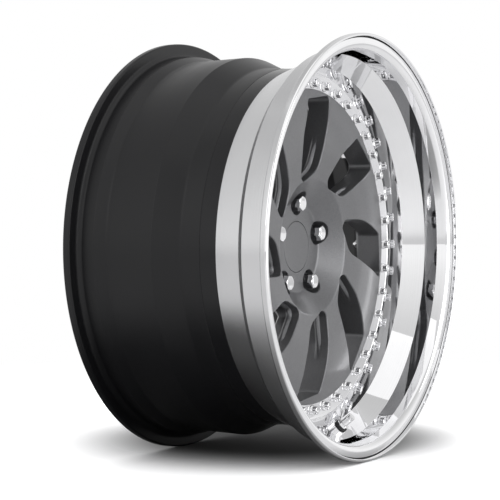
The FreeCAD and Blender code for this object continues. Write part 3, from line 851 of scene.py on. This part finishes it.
def barrel_outline(rim):
    """Outline of the inner half, from the seam over the tyre side and back through the hollow."""
    well_taper = 2.0
    well_ramp = 30.0
    well_round = 12.0
    drum_taper = 0.8
    drum_round = 2.5
    inner_seat_width = 22.0
    inner_seat_drop = 0.5
    inner_seat_round = 1.6
    inner_ramp = 14.0
    inner_ramp_round = 10.0
    gloss_line_reach = 0.6
    gloss_line_depth = 0.4
    seam = rim.ring_face - rim.ring_thick
    well_end = seam - rim.well_width
    drum_start = well_end - well_ramp
    seat_edge = -rim.half_width + inner_seat_width
    drum_end = seat_edge + inner_ramp
    back = -rim.half_width - rim.flange_reach
    flange_face = -rim.half_width - rim.flange_wall
    inner_edge = rim.flange_radius - rim.edge_thick
    wall = rim.barrel_wall
    line_edge = rim.well_radius + gloss_line_depth
    seat_radius = rim.bead_radius - inner_seat_drop
    edge_draft = 0.8
    draft_round = 1.0
    root_rise = 3.0
    root_round = 8.0
    hollow_run = 7.0
    hollow_round = 5.0
    inner_drum_round = 6.0
    clamp_round = 4.0
    return rounded([
        (seam, rim.ring_bore, EDGE_BREAK),
        (seam, rim.well_radius, SEAM_ROUND),
        (rim.gloss_line + gloss_line_reach, line_edge, FINE_ROUND),
        (rim.gloss_line, rim.well_radius, FINE_ROUND),
        (rim.gloss_line - gloss_line_reach, line_edge, FINE_ROUND),
        (well_end, rim.well_radius + well_taper, well_round),
        (drum_start, rim.drum_radius + drum_taper, drum_round),
        (drum_end, rim.drum_radius - drum_taper, inner_ramp_round),
        (seat_edge, seat_radius, inner_seat_round),
        (-rim.half_width, rim.bead_radius, rim.bead_fillet),
        (-rim.half_width, rim.flange_radius, rim.edge_round),
        (back, rim.flange_radius, rim.edge_round),
        (back, inner_edge, RIM_EDGE_ROUND),
        (flange_face, inner_edge - edge_draft, draft_round),
        (flange_face, rim.bead_radius - wall + root_rise, root_round),
        (seat_edge - hollow_run, seat_radius - wall, hollow_round),
        (drum_end, rim.drum_radius - wall - drum_taper, inner_ramp_round),
        (drum_start, rim.drum_radius - wall + drum_taper, inner_drum_round),
        (well_end, rim.well_radius - wall + well_taper, well_round),
        (seam - wall, rim.well_radius - wall, clamp_round),
        (seam - wall, rim.ring_bore, BORE_ROUND),
    ])


class WHEEL_OT_inner_barrel(bpy.types.Operator):
    """Build the black inner half"""

    bl_idname = "wheel.inner_barrel"
    bl_label = "Inner barrel"

    def execute(self, context):
        rim = in_millimetres(context.scene.wheel_rim)
        looks = finish_materials(context)
        outline = barrel_outline(rim)
        band_foot = rim.well_radius - 1.0
        bands = [1 if s > rim.gloss_line and r > band_foot else 0 for s, r in outline]
        barrel = lathe("Inner_barrel", outline, [looks["Satin black"], looks["Gloss black"]], bands)
        finish_piece(barrel, ["inner_barrel"], RIM_CRISP)
        return {"FINISHED"}


def centre_outline(size):
    """Outline of the centre before its windows are cut."""
    crown_outer_round = 150.0
    crown_inner_round = 200.0
    bowl_round = 6.0
    hub_cone = 20.0
    hub_bore_length = 10.0
    flange_width = 26.0
    flange_slope = 8.0
    cap_gap = 0.4
    hook_room = 30.0
    cap_pocket = size.cap_radius + cap_gap
    cap_seat = size.floor_face - size.cap_thick
    shoulder = cap_seat - size.cap_shoulder
    bore_end = size.hub_face + hub_bore_length
    flange_inner = size.flange_radius - flange_width
    flange_edge = 0.8
    pad_edge = 1.5
    cone_round = 4.0
    slope_foot_round = 3.0
    slope_round = 2.0
    spigot_round = 1.2
    cap_seat_round = 0.4
    return rounded([
        (size.hub_face, size.hub_bore, flange_edge),
        (size.hub_face, size.hub_pad, pad_edge),
        (size.spoke_back, size.hub_pad + hub_cone, cone_round),
        (size.spoke_back, flange_inner - flange_slope, slope_foot_round),
        (size.flange_back, flange_inner, slope_round),
        (size.flange_back, size.flange_radius, flange_edge),
        (size.clamp_face, size.flange_radius, SEAM_ROUND),
        (size.clamp_face, size.spigot_radius, CORNER),
        (size.spigot_edge, size.spigot_radius, spigot_round),
        (size.crown, size.crown_outer, crown_outer_round),
        (size.crown, size.crown_inner, crown_inner_round),
        (size.bowl_rim, size.bowl_radius, bowl_round),
        (size.floor_face, size.floor_radius, bowl_round),
        (size.floor_face, cap_pocket, BORE_ROUND),
        (cap_seat, cap_pocket, CORNER),
        (cap_seat, size.cap_bore, cap_seat_round),
        (shoulder, size.cap_bore, CORNER),
        (shoulder, hook_room, CORNER),
        (bore_end, hook_room, CORNER),
        (bore_end, size.hub_bore, CORNER),
    ])


def surface_at(outline, radius, front):
    """Place along the axle of an outline's front or back surface at a radius."""
    level_run = 1e-6
    found = []
    for i, point in enumerate(outline):
        following = outline[(i + 1) % len(outline)]
        low, high = sorted((point.y, following.y))
        if low <= radius <= high and high - low > level_run:
            part = (radius - point.y) / (following.y - point.y)
            found.append(point.x + (following.x - point.x) * part)
    return max(found) if front else min(found)


def window_outline(size):
    """Outline of one window about the top of the wheel, as (x, z) points.

    A corner has its distance from the axle, its turn from the window's middle and its rounding.
    """
    tip_radius = size.bowl_radius - 2.5
    belly_radius = 135.3
    short_radius = size.spigot_radius - 12.0
    long_radius = size.spigot_radius + 0.2
    heel_radius = size.bowl_radius + 11.7
    corners = []
    for radius, degrees, rounding in [
        (tip_radius, 23.9, 9.0),
        (belly_radius, 14.5, 110.0),
        (short_radius, 4.6, 6.5),
        (long_radius, -13.3, 5.5),
        (heel_radius, -5.1, 28.0),
    ]:
        spot = QUARTER_TURN + math.radians(degrees)
        corners.append((radius * math.cos(spot), radius * math.sin(spot), rounding))
    return divided(rounded(corners), OUTLINE_STEP)


def outward_normals(outline):
    """Unit normals that point out of a closed outline."""
    area = sum(p.x * q.y - q.x * p.y for p, q in zip(outline, outline[1:] + outline[:1]))
    side = 1.0 if area > 0.0 else -1.0
    normals = []
    for i in range(len(outline)):
        along = (outline[(i + 1) % len(outline)] - outline[i - 1]).normalized()
        normals.append(Vector((along.y, -along.x)) * side)
    return normals


def smooth_step(value, low, high):
    part = min(1.0, max(0.0, (value - low) / (high - low)))
    return part * part * (3.0 - 2.0 * part)


def window_levels(size, clear):
    """Levels of the tool that cuts one window: kind, offset from the outline and height."""
    edge = size.edge_round
    open_share = 0.74
    levels = [("along", edge * open_share, size.crown + clear)]
    for degrees in (75.0, 55.0, 35.0, 15.0, 0.0):
        turn = math.radians(degrees)
        levels.append(("face", edge * (1.0 - math.cos(turn)), -edge * (1.0 - math.sin(turn))))
    rib_steps = 8
    for k in range(rib_steps + 1):
        part = k / rib_steps
        rise = math.sin(math.pi * part)
        levels.append(("rib", -size.rib_rise * rise, -size.rib_depth - size.rib_width * part))
    levels.append(("back", 0.0, size.back_bevel))
    levels.append(("back", size.back_bevel, 0.0))
    levels.append(("along", size.back_bevel, size.hub_face - clear))
    return levels


def window_rings(size, blank):
    """Rings of the tool that cuts one window, with a rounded front edge, a rib and a bevelled back edge."""
    rib_fade_start = 112.0
    rib_fade_end = 146.0
    clear = 8.0
    face_reach = size.spigot_radius - 0.5
    back_reach = size.flange_radius - 1.0
    outline = window_outline(size)
    normals = outward_normals(outline)
    rings = []
    for kind, offset, height in window_levels(size, clear):
        ring = []
        for point, normal in zip(outline, normals):
            shift = offset
            if kind == "rib":
                shift = offset * (1.0 - smooth_step(point.length, rib_fade_start, rib_fade_end))
            spot = point + normal * shift
            s = height
            if kind in ("face", "rib"):
                s = height + surface_at(blank, min(spot.length, face_reach), True)
            if kind == "back":
                s = height + surface_at(blank, min(spot.length, back_reach), False)
            ring.append(Vector((spot.x, -s, spot.y)))
        rings.append(ring)
    return rings


def pocket_rings(size, parts, blank):
    """Rings of the tool that cuts one lug pocket, with its seat and hole."""
    lug_hole_gap = 0.4
    edge = 0.9
    edge_break = 0.3 * edge
    edge_reach = parts.lug_pocket + 0.8 * edge
    behind = 5.0
    clear = 8.0
    hole = parts.lug_shank + lug_hole_gap
    cone = (parts.lug_collar - hole) / math.tan(parts.lug_cone)
    nearest = size.cap_radius + 1.0
    place = towards_street(parts.lug_circle, 0.0)
    rings = []
    for kind, radius, height in [
        ("along", hole, size.hub_face - behind),
        ("along", hole, parts.lug_seat - cone),
        ("along", parts.lug_collar, parts.lug_seat),
        ("along", parts.lug_pocket, parts.lug_seat),
        ("face", parts.lug_pocket, -edge),
        ("face", parts.lug_pocket + edge_break, -edge_break),
        ("face", edge_reach, 0.0),
        ("along", edge_reach, size.crown + clear),
    ]:
        ring = []
        for point in stack([(height, radius)], place, 2 * HEAD_SIDES)[0]:
            if kind == "face":
                from_axle = max(math.hypot(point.x, point.z), nearest)
                point.y = -height - surface_at(blank, from_axle, True)
            ring.append(point)
        rings.append(ring)
    return rings


def turned_round(rings, turn):
    """Rings of points swung round the axle."""
    swing = Matrix.Rotation(-turn, 3, "Y")
    return [[swing @ Vector(point) for point in ring] for ring in rings]


class WHEEL_OT_centre(bpy.types.Operator):
    """Build the painted centre with its swept windows and lug pockets"""

    bl_idname = "wheel.centre"
    bl_label = "Centre"

    def execute(self, context):
        size = in_millimetres(context.scene.wheel_centre)
        parts = in_millimetres(context.scene.wheel_fasteners)
        looks = finish_materials(context)
        blank = divided(centre_outline(size), FACE_STEP)
        paint = [looks["Centre paint"]]
        centre = lathe("Wheel_centre", blank, paint)
        tools = []
        window = window_rings(size, blank)
        for k in range(size.windows):
            rings = turned_round(window, FULL_TURN * k / size.windows)
            tools.append(new_piece("Window_tool", rings, True, paint))
        pocket = pocket_rings(size, parts, blank)
        for k in range(parts.lugs):
            rings = turned_round(pocket, parts.lug_first + FULL_TURN * k / parts.lugs)
            tools.append(new_piece("Pocket_tool", rings, True, paint))
        combine(centre, joined("Centre_tool", tools), "DIFFERENCE")
        finish_piece(centre, ["wheel_centre"], TURNED_CRISP)
        return {"FINISHED"}


def cap_outline(size):
    """Outline of the centre cap: a shallow face, a rim, and a skirt with a hook."""
    cap_skirt_wall = 2.0
    cap_hook = 1.0
    cap_hook_thick = 2.5
    face = size.floor_face
    seat = face - size.cap_thick
    shoulder = seat - size.cap_shoulder
    hook_end = shoulder - cap_hook_thick
    skirt = size.cap_skirt
    inner = skirt - cap_skirt_wall
    plate_back = seat + size.cap_thick / 2.0
    face_dip = 0.5
    rim_dip = 0.1
    rim_width = 2.6
    rim_round = 1.0
    edge_round = 0.7
    return rounded([
        (face - face_dip, 0.0, CORNER),
        (face - rim_dip, size.cap_radius - rim_width, rim_round),
        (face, size.cap_radius, edge_round),
        (seat, size.cap_radius, EDGE_BREAK),
        (seat, skirt, EDGE_BREAK),
        (shoulder, skirt, CORNER),
        (shoulder, skirt + cap_hook, FINE_ROUND),
        (hook_end, skirt, EDGE_BREAK),
        (hook_end, inner, EDGE_BREAK),
        (plate_back, inner, rim_round),
        (plate_back, 0.0, CORNER),
    ])


class WHEEL_OT_cap(bpy.types.Operator):
    """Build the plain centre cap and finish the spring behind it"""

    bl_idname = "wheel.cap"
    bl_label = "Centre cap"

    def execute(self, context):
        size = in_millimetres(context.scene.wheel_centre)
        looks = finish_materials(context)
        cap = lathe("Centre_cap", cap_outline(size), [looks["Centre paint"]])
        finish_piece(cap, ["centre_cap"], TURNED_CRISP)
        dress_node("cap_spring", looks["Spring steel"])
        return {"FINISHED"}


def across_corners(flats):
    """Radius of the corners of a hexagon from its width across the flats."""
    return flats / math.sqrt(3.0)


def bolt_levels(rim, parts):
    """Levels of one assembly bolt: collar, cone and twelve-point head with a dished top."""
    foot = rim.ring_face
    collar = foot + parts.bolt_collar_thick
    top = collar + parts.bolt_rise
    corner_gap = 0.02
    head = across_corners(parts.bolt_flats) + corner_gap
    section = (parts.bolt_flats, TWELVE_POINT)
    shank = parts.bolt_shank
    tip_bevel = 0.6
    edge_in, edge_up = 0.2, 0.3
    band_end = 1.1
    shoulder_in, shoulder_up = 0.35, 1.5
    neck_out, neck_up = 0.5, 0.25
    bevel_start = 1.0
    bevel_in, bevel_down = 0.45, 0.35
    top_in = 1.1
    dish_radii = (2.6, 2.1)
    dish_depth = 0.7
    return [
        (parts.bolt_end, END_RING),
        (parts.bolt_end, shank - tip_bevel),
        (parts.bolt_end + tip_bevel, shank),
        (foot, shank),
        (foot, parts.bolt_collar - edge_in),
        (foot + edge_up, parts.bolt_collar),
        (foot + band_end, parts.bolt_collar),
        (foot + shoulder_up, parts.bolt_collar - shoulder_in),
        (collar, head + neck_out),
        (collar + neck_up, head, *section),
        (top - bevel_start, head, *section),
        (top - bevel_down, head - bevel_in, *section),
        (top, head - top_in, *section),
        (top, dish_radii[0]),
        (top - dish_depth, dish_radii[1]),
        (top - dish_depth, END_RING),
    ]


def nut_levels(size, parts):
    """Levels of one assembly nut, from its seat round to the bore for the bolt."""
    seat = size.flange_back
    end = seat - parts.nut_height
    corner = across_corners(parts.nut_flats)
    flats_inset = 1.2
    section = (parts.nut_flats - flats_inset, HEX)
    edge = 0.3
    washer_thick = 1.3
    cone_end = 2.1
    hex_inset = 0.7
    hex_end = 2.6
    bevel_inset, bevel_end = 1.5, 1.6
    crown_height = 1.4
    crown_radii = (4.9, 4.7)
    bore = parts.bolt_shank + 0.01
    return [
        (seat, corner - edge),
        (seat - edge, corner),
        (seat - washer_thick, corner),
        (seat - cone_end, corner - hex_inset, *section),
        (end + hex_end, corner - hex_inset, *section),
        (end + bevel_end, corner - bevel_inset, *section),
        (end + crown_height, crown_radii[0]),
        (end, crown_radii[1]),
        (end, parts.bolt_shank + edge),
        (end + edge, bore),
        (seat, bore),
    ]


def lug_levels(size, parts):
    """Levels of one lug bolt from the tip of its thread to its face."""
    tip = size.hub_face - parts.lug_reach
    tip_bevel = 1.6
    thread_end = size.hub_face - parts.lug_neck_start
    levels = [
        (tip, END_RING),
        (tip, parts.lug_shank - tip_bevel),
    ]
    turns = math.floor((thread_end - tip) / parts.lug_pitch) - 1
    for k in range(turns):
        levels.append((tip + parts.lug_pitch * (k + 0.5), parts.lug_shank))
        levels.append((tip + parts.lug_pitch * (k + 1.0), parts.lug_shank - parts.lug_thread))
    cone = parts.lug_seat - (parts.lug_collar - parts.lug_neck) / math.tan(parts.lug_cone)
    collar = parts.lug_seat + parts.lug_collar_thick
    collar_edge = 0.5
    thread_runout = 0.6
    corner_gap = 0.02
    corner = across_corners(parts.lug_flats)
    section = (parts.lug_flats, HEX)
    half_flats = parts.lug_flats / 2.0
    face = parts.lug_face
    bevel_start = 1.5
    bevel_in, bevel_down = 0.75, 0.6
    round_in, round_down = 0.3, 0.15
    face_in = 0.8
    dish_in, dish_depth = 3.0, 0.25
    return levels + [
        (thread_end - thread_runout, parts.lug_shank),
        (thread_end, parts.lug_neck),
        (cone, parts.lug_neck),
        (parts.lug_seat, parts.lug_collar),
        (collar - collar_edge, parts.lug_collar),
        (collar, parts.lug_collar - collar_edge),
        (collar, corner + corner_gap, *section),
        (face - bevel_start, corner + corner_gap, *section),
        (face - bevel_down, corner - bevel_in, *section),
        (face - round_down, half_flats - round_in),
        (face, half_flats - face_in),
        (face - dish_depth, half_flats - dish_in),
        (face - dish_depth, END_RING),
    ]


def fastener_group(name, levels, circle, first, number, material, bored=False):
    """Like fasteners round the axle as one piece."""
    pieces = []
    for k in range(number):
        place = towards_street(circle, first + FULL_TURN * k / number)
        pieces.append(new_piece(name + "_part", stack(levels, place), not bored, [material]))
    return joined(name, pieces)


class WHEEL_OT_fasteners(bpy.types.Operator):
    """Build the assembly bolts, their nuts and the lug bolts"""

    bl_idname = "wheel.fasteners"
    bl_label = "Bolts and nuts"

    def execute(self, context):
        rim = in_millimetres(context.scene.wheel_rim)
        size = in_millimetres(context.scene.wheel_centre)
        parts = in_millimetres(context.scene.wheel_fasteners)
        chrome = finish_materials(context)["Chrome"]
        bolts = fastener_group("Assembly_bolts", bolt_levels(rim, parts), parts.bolt_circle, 0.0,
                               parts.bolts, chrome)
        finish_piece(bolts, ["assembly_bolts"], HEAD_CRISP)
        nuts = fastener_group("Assembly_nuts", nut_levels(size, parts), parts.bolt_circle, 0.0,
                              parts.bolts, chrome, bored=True)
        finish_piece(nuts, ["assembly_nuts"], HEAD_CRISP)
        lugs = fastener_group("Lug_bolts", lug_levels(size, parts), parts.lug_circle, parts.lug_first,
                              parts.lugs, chrome)
        finish_piece(lugs, ["lug_bolts"], HEAD_CRISP)
        return {"FINISHED"}


def grommet_levels(parts, seat, top):
    """Levels of the valve's grommet between its seat and the nut."""
    wide = parts.grommet_radius
    bore = parts.stem_radius + 0.02
    foot_round = 0.8
    top_start, top_in = 1.2, 1.2
    round_in = 0.4
    return [
        (seat, bore),
        (seat, wide - foot_round),
        (seat + foot_round, wide),
        (top - top_start, wide),
        (top - round_in, wide - round_in),
        (top, wide - top_in),
        (top, bore),
    ]


def valve_nut_levels(parts, foot, top):
    """Levels of the valve's nut."""
    corner = across_corners(parts.valve_nut_flats)
    section = (parts.valve_nut_flats, HEX)
    bore = parts.stem_radius + 0.02
    foot_in, foot_up = 0.7, 0.5
    top_in, top_down = 1.1, 0.7
    return [
        (foot, bore),
        (foot, corner - foot_in, *section),
        (foot + foot_up, corner, *section),
        (top - top_down, corner, *section),
        (top, corner - top_in, *section),
        (top, bore),
    ]


def stem_levels(parts, top):
    """Levels of the valve's stem, from its tail round to its bore."""
    tail = -parts.stem_tail
    stem = parts.stem_radius
    bevel = 0.4
    bore_start = 0.01
    return [
        (tail, parts.stem_bore),
        (tail, stem - bevel),
        (tail + bevel, stem),
        (top - bevel, stem),
        (top, stem - bevel),
        (top, parts.stem_bore),
        (tail + bore_start, parts.stem_bore),
    ]


def valve_cap_levels(parts, foot):
    """Levels of the valve's cap, with a groove round its end."""
    end = foot + parts.valve_cap_length
    wide = parts.valve_cap_radius
    mouth = parts.stem_radius + 0.15
    bevel = 0.3
    groove = 4.8
    groove_depth = 0.4
    top_start, top_in = 0.9, 1.0
    return [
        (foot, mouth),
        (foot, wide - bevel),
        (foot + bevel, wide),
        (end - groove - groove_depth, wide),
        (end - groove, wide - groove_depth),
        (end - groove + groove_depth, wide),
        (end - top_start, wide),
        (end - bevel, wide - bevel),
        (end, wide - top_in),
        (end, END_RING),
    ]


class WHEEL_OT_valve(bpy.types.Operator):
    """Build the valve's grommet, nut, stem and cap and finish its core"""

    bl_idname = "wheel.valve"
    bl_label = "Valve"

    def execute(self, context):
        rim = in_millimetres(context.scene.wheel_rim)
        parts = in_millimetres(context.scene.wheel_fasteners)
        looks = finish_materials(context)
        place = valve_place(rim, parts)
        chrome = [looks["Chrome"]]
        seat = parts.valve_seat
        nut = seat + parts.grommet_thick
        cap = nut + parts.valve_nut_thick
        grommet_rings = stack(grommet_levels(parts, seat, nut), place)
        grommet = new_piece("Valve_grommet", grommet_rings, True, [looks["Rubber"]])
        finish_piece(grommet, ["valve_grommet"], RUBBER_CRISP)
        hex_nut = new_piece("Valve_nut", stack(valve_nut_levels(parts, nut, cap), place), True, chrome)
        finish_piece(hex_nut, ["valve_nut"], HEAD_CRISP)
        stem_rings = stack(stem_levels(parts, cap + parts.stem_rise), place)
        stem = new_piece("Valve_stem", stem_rings, False, chrome)
        finish_piece(stem, ["valve_stem"], TURNED_CRISP)
        cover = new_piece("Valve_cap", stack(valve_cap_levels(parts, cap), place), True, chrome)
        finish_piece(cover, ["valve_cap"], TURNED_CRISP)
        dress_node("valve_core", looks["Brass"])
        return {"FINISHED"}


class WHEEL_OT_seal(bpy.types.Operator):
    """Finish the seal between the rim halves"""

    bl_idname = "wheel.seal"
    bl_label = "Rim seal"

    def execute(self, context):
        dress_node("rim_seal", finish_materials(context)["Rubber"])
        return {"FINISHED"}


def dimmed(shade, factor):
    return [part * factor for part in shade]


def seen_floor(tree, spot, stage):
    """Colour of the floor as the camera sees it: pale, with a painted shadow under the wheel."""
    grain_shade = 0.995
    clear_from = 1.1
    bright = dimmed(stage.floor, stage.floor_gain)
    grain = noise_node(tree, spot, scale=30.0, detail=3.0, roughness=0.5)
    plain = mixed(tree, grain, dimmed(bright, grain_shade), bright)
    # Painted shadow: the floor darkens in an oval about its middle, darkest in its core
    from_middle = vector_node(tree, "SUBTRACT", spot, stage.painted_shadow_place)["Vector"]
    reach = (stage.painted_shadow_wide, stage.painted_shadow_long, 1.0)
    ring = vector_node(tree, "LENGTH", vector_node(tree, "DIVIDE", from_middle, reach)["Vector"])["Value"]
    clear = range_node(tree, ring, (stage.painted_shadow_core, clear_from), (0.0, 1.0), "SMOOTHSTEP")
    return mixed(tree, clear, dimmed(bright, stage.painted_shadow_shade), plain)


def sent_floor(tree, spot, stage):
    """Colour of the floor as the wheel is lit by it: painted shade close under the barrel."""
    away = vector_node(tree, "DISTANCE", spot, stage.painted_shade_place)["Value"]
    limits = (stage.painted_shade_core * stage.painted_shade_end, stage.painted_shade_end)
    open_floor = range_node(tree, away, limits, (0.0, 1.0))
    return mixed(tree, open_floor, dimmed(stage.floor, stage.painted_shade_bounce), dimmed(stage.floor, stage.bounce))


def floor_material(stage):
    """Pale floor that is seen brighter than the light it sends back, and turns white away from the wheel."""
    black = (0.0, 0.0, 0.0)
    white = (1.0, 1.0, 1.0)
    material, tree, shader = new_material("Floor", metallic=0.0)
    shader.inputs["Roughness"].default_value = 0.8
    shader.inputs["Specular IOR Level"].default_value = 0.0
    shader.inputs["Emission Strength"].default_value = 1.0
    by_camera = tree.nodes.new("ShaderNodeLightPath").outputs["Is Camera Ray"]
    spot = tree.nodes.new("ShaderNodeTexCoord").outputs["Object"]
    away = vector_node(tree, "LENGTH", spot)["Value"]
    far = range_node(tree, away, (stage.fade_start, stage.fade_end), (0.0, 1.0))
    seen_far = math_node(tree, "MULTIPLY", far, by_camera)
    # The camera sees the floor with its painted shadow; the wheel is lit by the floor with its painted shade
    shade = mixed(tree, by_camera, sent_floor(tree, spot, stage), seen_floor(tree, spot, stage))
    tree.links.new(mixed(tree, seen_far, shade, black), shader.inputs["Base Color"])
    tree.links.new(mixed(tree, seen_far, black, white), shader.inputs["Emission Color"])
    return material


def surroundings(stage):
    """White behind the wheel; what the wheel reflects is bright above and dim below."""
    horizon = (-0.45, -0.02)
    overhead = (0.1, 0.9)
    world = bpy.data.worlds.new("Studio")
    world.use_nodes = True
    tree = world.node_tree
    backdrop = next(node for node in tree.nodes if node.type == "BACKGROUND")
    by_camera = tree.nodes.new("ShaderNodeLightPath").outputs["Is Camera Ray"]
    split = tree.nodes.new("ShaderNodeSeparateXYZ")
    tree.links.new(tree.nodes.new("ShaderNodeTexCoord").outputs["Generated"], split.inputs["Vector"])
    rise = range_node(tree, split.outputs["Z"], horizon, (stage.ground, stage.sky))
    height = range_node(tree, split.outputs["Z"], overhead, (1.0, stage.zenith))
    lit = math_node(tree, "MAXIMUM", math_node(tree, "MULTIPLY", rise, height), by_camera)
    tree.links.new(lit, backdrop.inputs["Strength"])
    backdrop.inputs["Color"].default_value = (1.0, 1.0, 1.0, 1.0)
    return world


def aim_at(thing, place, target):
    """Set a light or camera at a place and turn it to a target."""
    thing.location = place
    thing.rotation_euler = (Vector(target) - Vector(place)).to_track_quat("-Z", "Y").to_euler()


def softbox(name, place, width, height, power):
    """A rectangular area light that looks at the middle of the wheel."""
    lamp = bpy.data.lights.new(name, "AREA")
    lamp.shape = "RECTANGLE"
    lamp.size = width
    lamp.size_y = height
    lamp.energy = power
    aim_at(linked(name, lamp), place, (0.0, 0.0, 0.0))


class WHEEL_OT_stage(bpy.types.Operator):
    """Set up the floor, the lights and the camera"""

    bl_idname = "wheel.stage"
    bl_label = "Stage"

    def execute(self, context):
        scene = context.scene
        stage = scene.wheel_stage
        floor_gap = 0.1 * MM
        reach = 12.0
        corners = [(-reach, -reach, 0.0), (reach, -reach, 0.0), (reach, reach, 0.0), (-reach, reach, 0.0)]
        mesh = bpy.data.meshes.new("Floor")
        mesh.from_pydata(corners, [], [(0, 1, 2, 3)])
        mesh.materials.append(floor_material(stage))
        floor = linked("Floor", mesh)
        floor.location.z = CAD_BOX[0][2] - floor_gap
        scene.world = surroundings(stage)
        softbox("Top light", (-0.5, -0.4, 2.2), width=2.6, height=2.2, power=8.0)
        softbox("Left light", (-2.6, 0.5, 1.3), width=1.2, height=1.6, power=4.0)
        softbox("Face light", (0.3, -2.5, 0.4), width=2.0, height=1.9, power=26.0)
        lens = bpy.data.cameras.new("Camera")
        lens.lens = stage.camera_lens
        lens.sensor_width = 36.0
        camera = linked("Camera", lens)
        aim_at(camera, stage.camera_place, stage.camera_aim)
        scene.camera = camera
        scene.view_settings.view_transform = "Standard"
        return {"FINISHED"}


BUILD_ORDER = (
    WHEEL_OT_outer_lip,
    WHEEL_OT_inner_barrel,
    WHEEL_OT_centre,
    WHEEL_OT_cap,
    WHEEL_OT_fasteners,
    WHEEL_OT_valve,
    WHEEL_OT_seal,
    WHEEL_OT_stage,
)


class WHEEL_PT_build(bpy.types.Panel):
    """Lists the wheel's build steps"""

    bl_idname = "WHEEL_PT_build"
    bl_label = "Alloy wheel"
    bl_space_type = "VIEW_3D"
    bl_region_type = "UI"
    bl_category = "Wheel"

    def draw(self, context):
        for step in BUILD_ORDER:
            self.layout.operator(step.bl_idname)


SETTINGS = {
    "wheel_rim": WheelRimSizes,
    "wheel_centre": WheelCentreSizes,
    "wheel_fasteners": WheelFastenerSizes,
    "wheel_finishes": WheelFinishes,
    "wheel_stage": WheelStageSettings,
}
CLASSES = (*SETTINGS.values(), *BUILD_ORDER, WHEEL_PT_build)


def register():
    for cls in CLASSES:
        bpy.utils.register_class(cls)
    for name, group in SETTINGS.items():
        setattr(bpy.types.Scene, name, PointerProperty(type=group))


def unregister():
    for name in SETTINGS:
        delattr(bpy.types.Scene, name)
    for cls in reversed(CLASSES):
        bpy.utils.unregister_class(cls)


def main():
    """Build every piece in order."""
    register()
    bpy.ops.wheel.outer_lip()
    bpy.ops.wheel.inner_barrel()
    bpy.ops.wheel.centre()
    bpy.ops.wheel.cap()
    bpy.ops.wheel.fasteners()
    bpy.ops.wheel.valve()
    bpy.ops.wheel.seal()
    bpy.ops.wheel.stage()


if __name__ == "__main__":
    main()
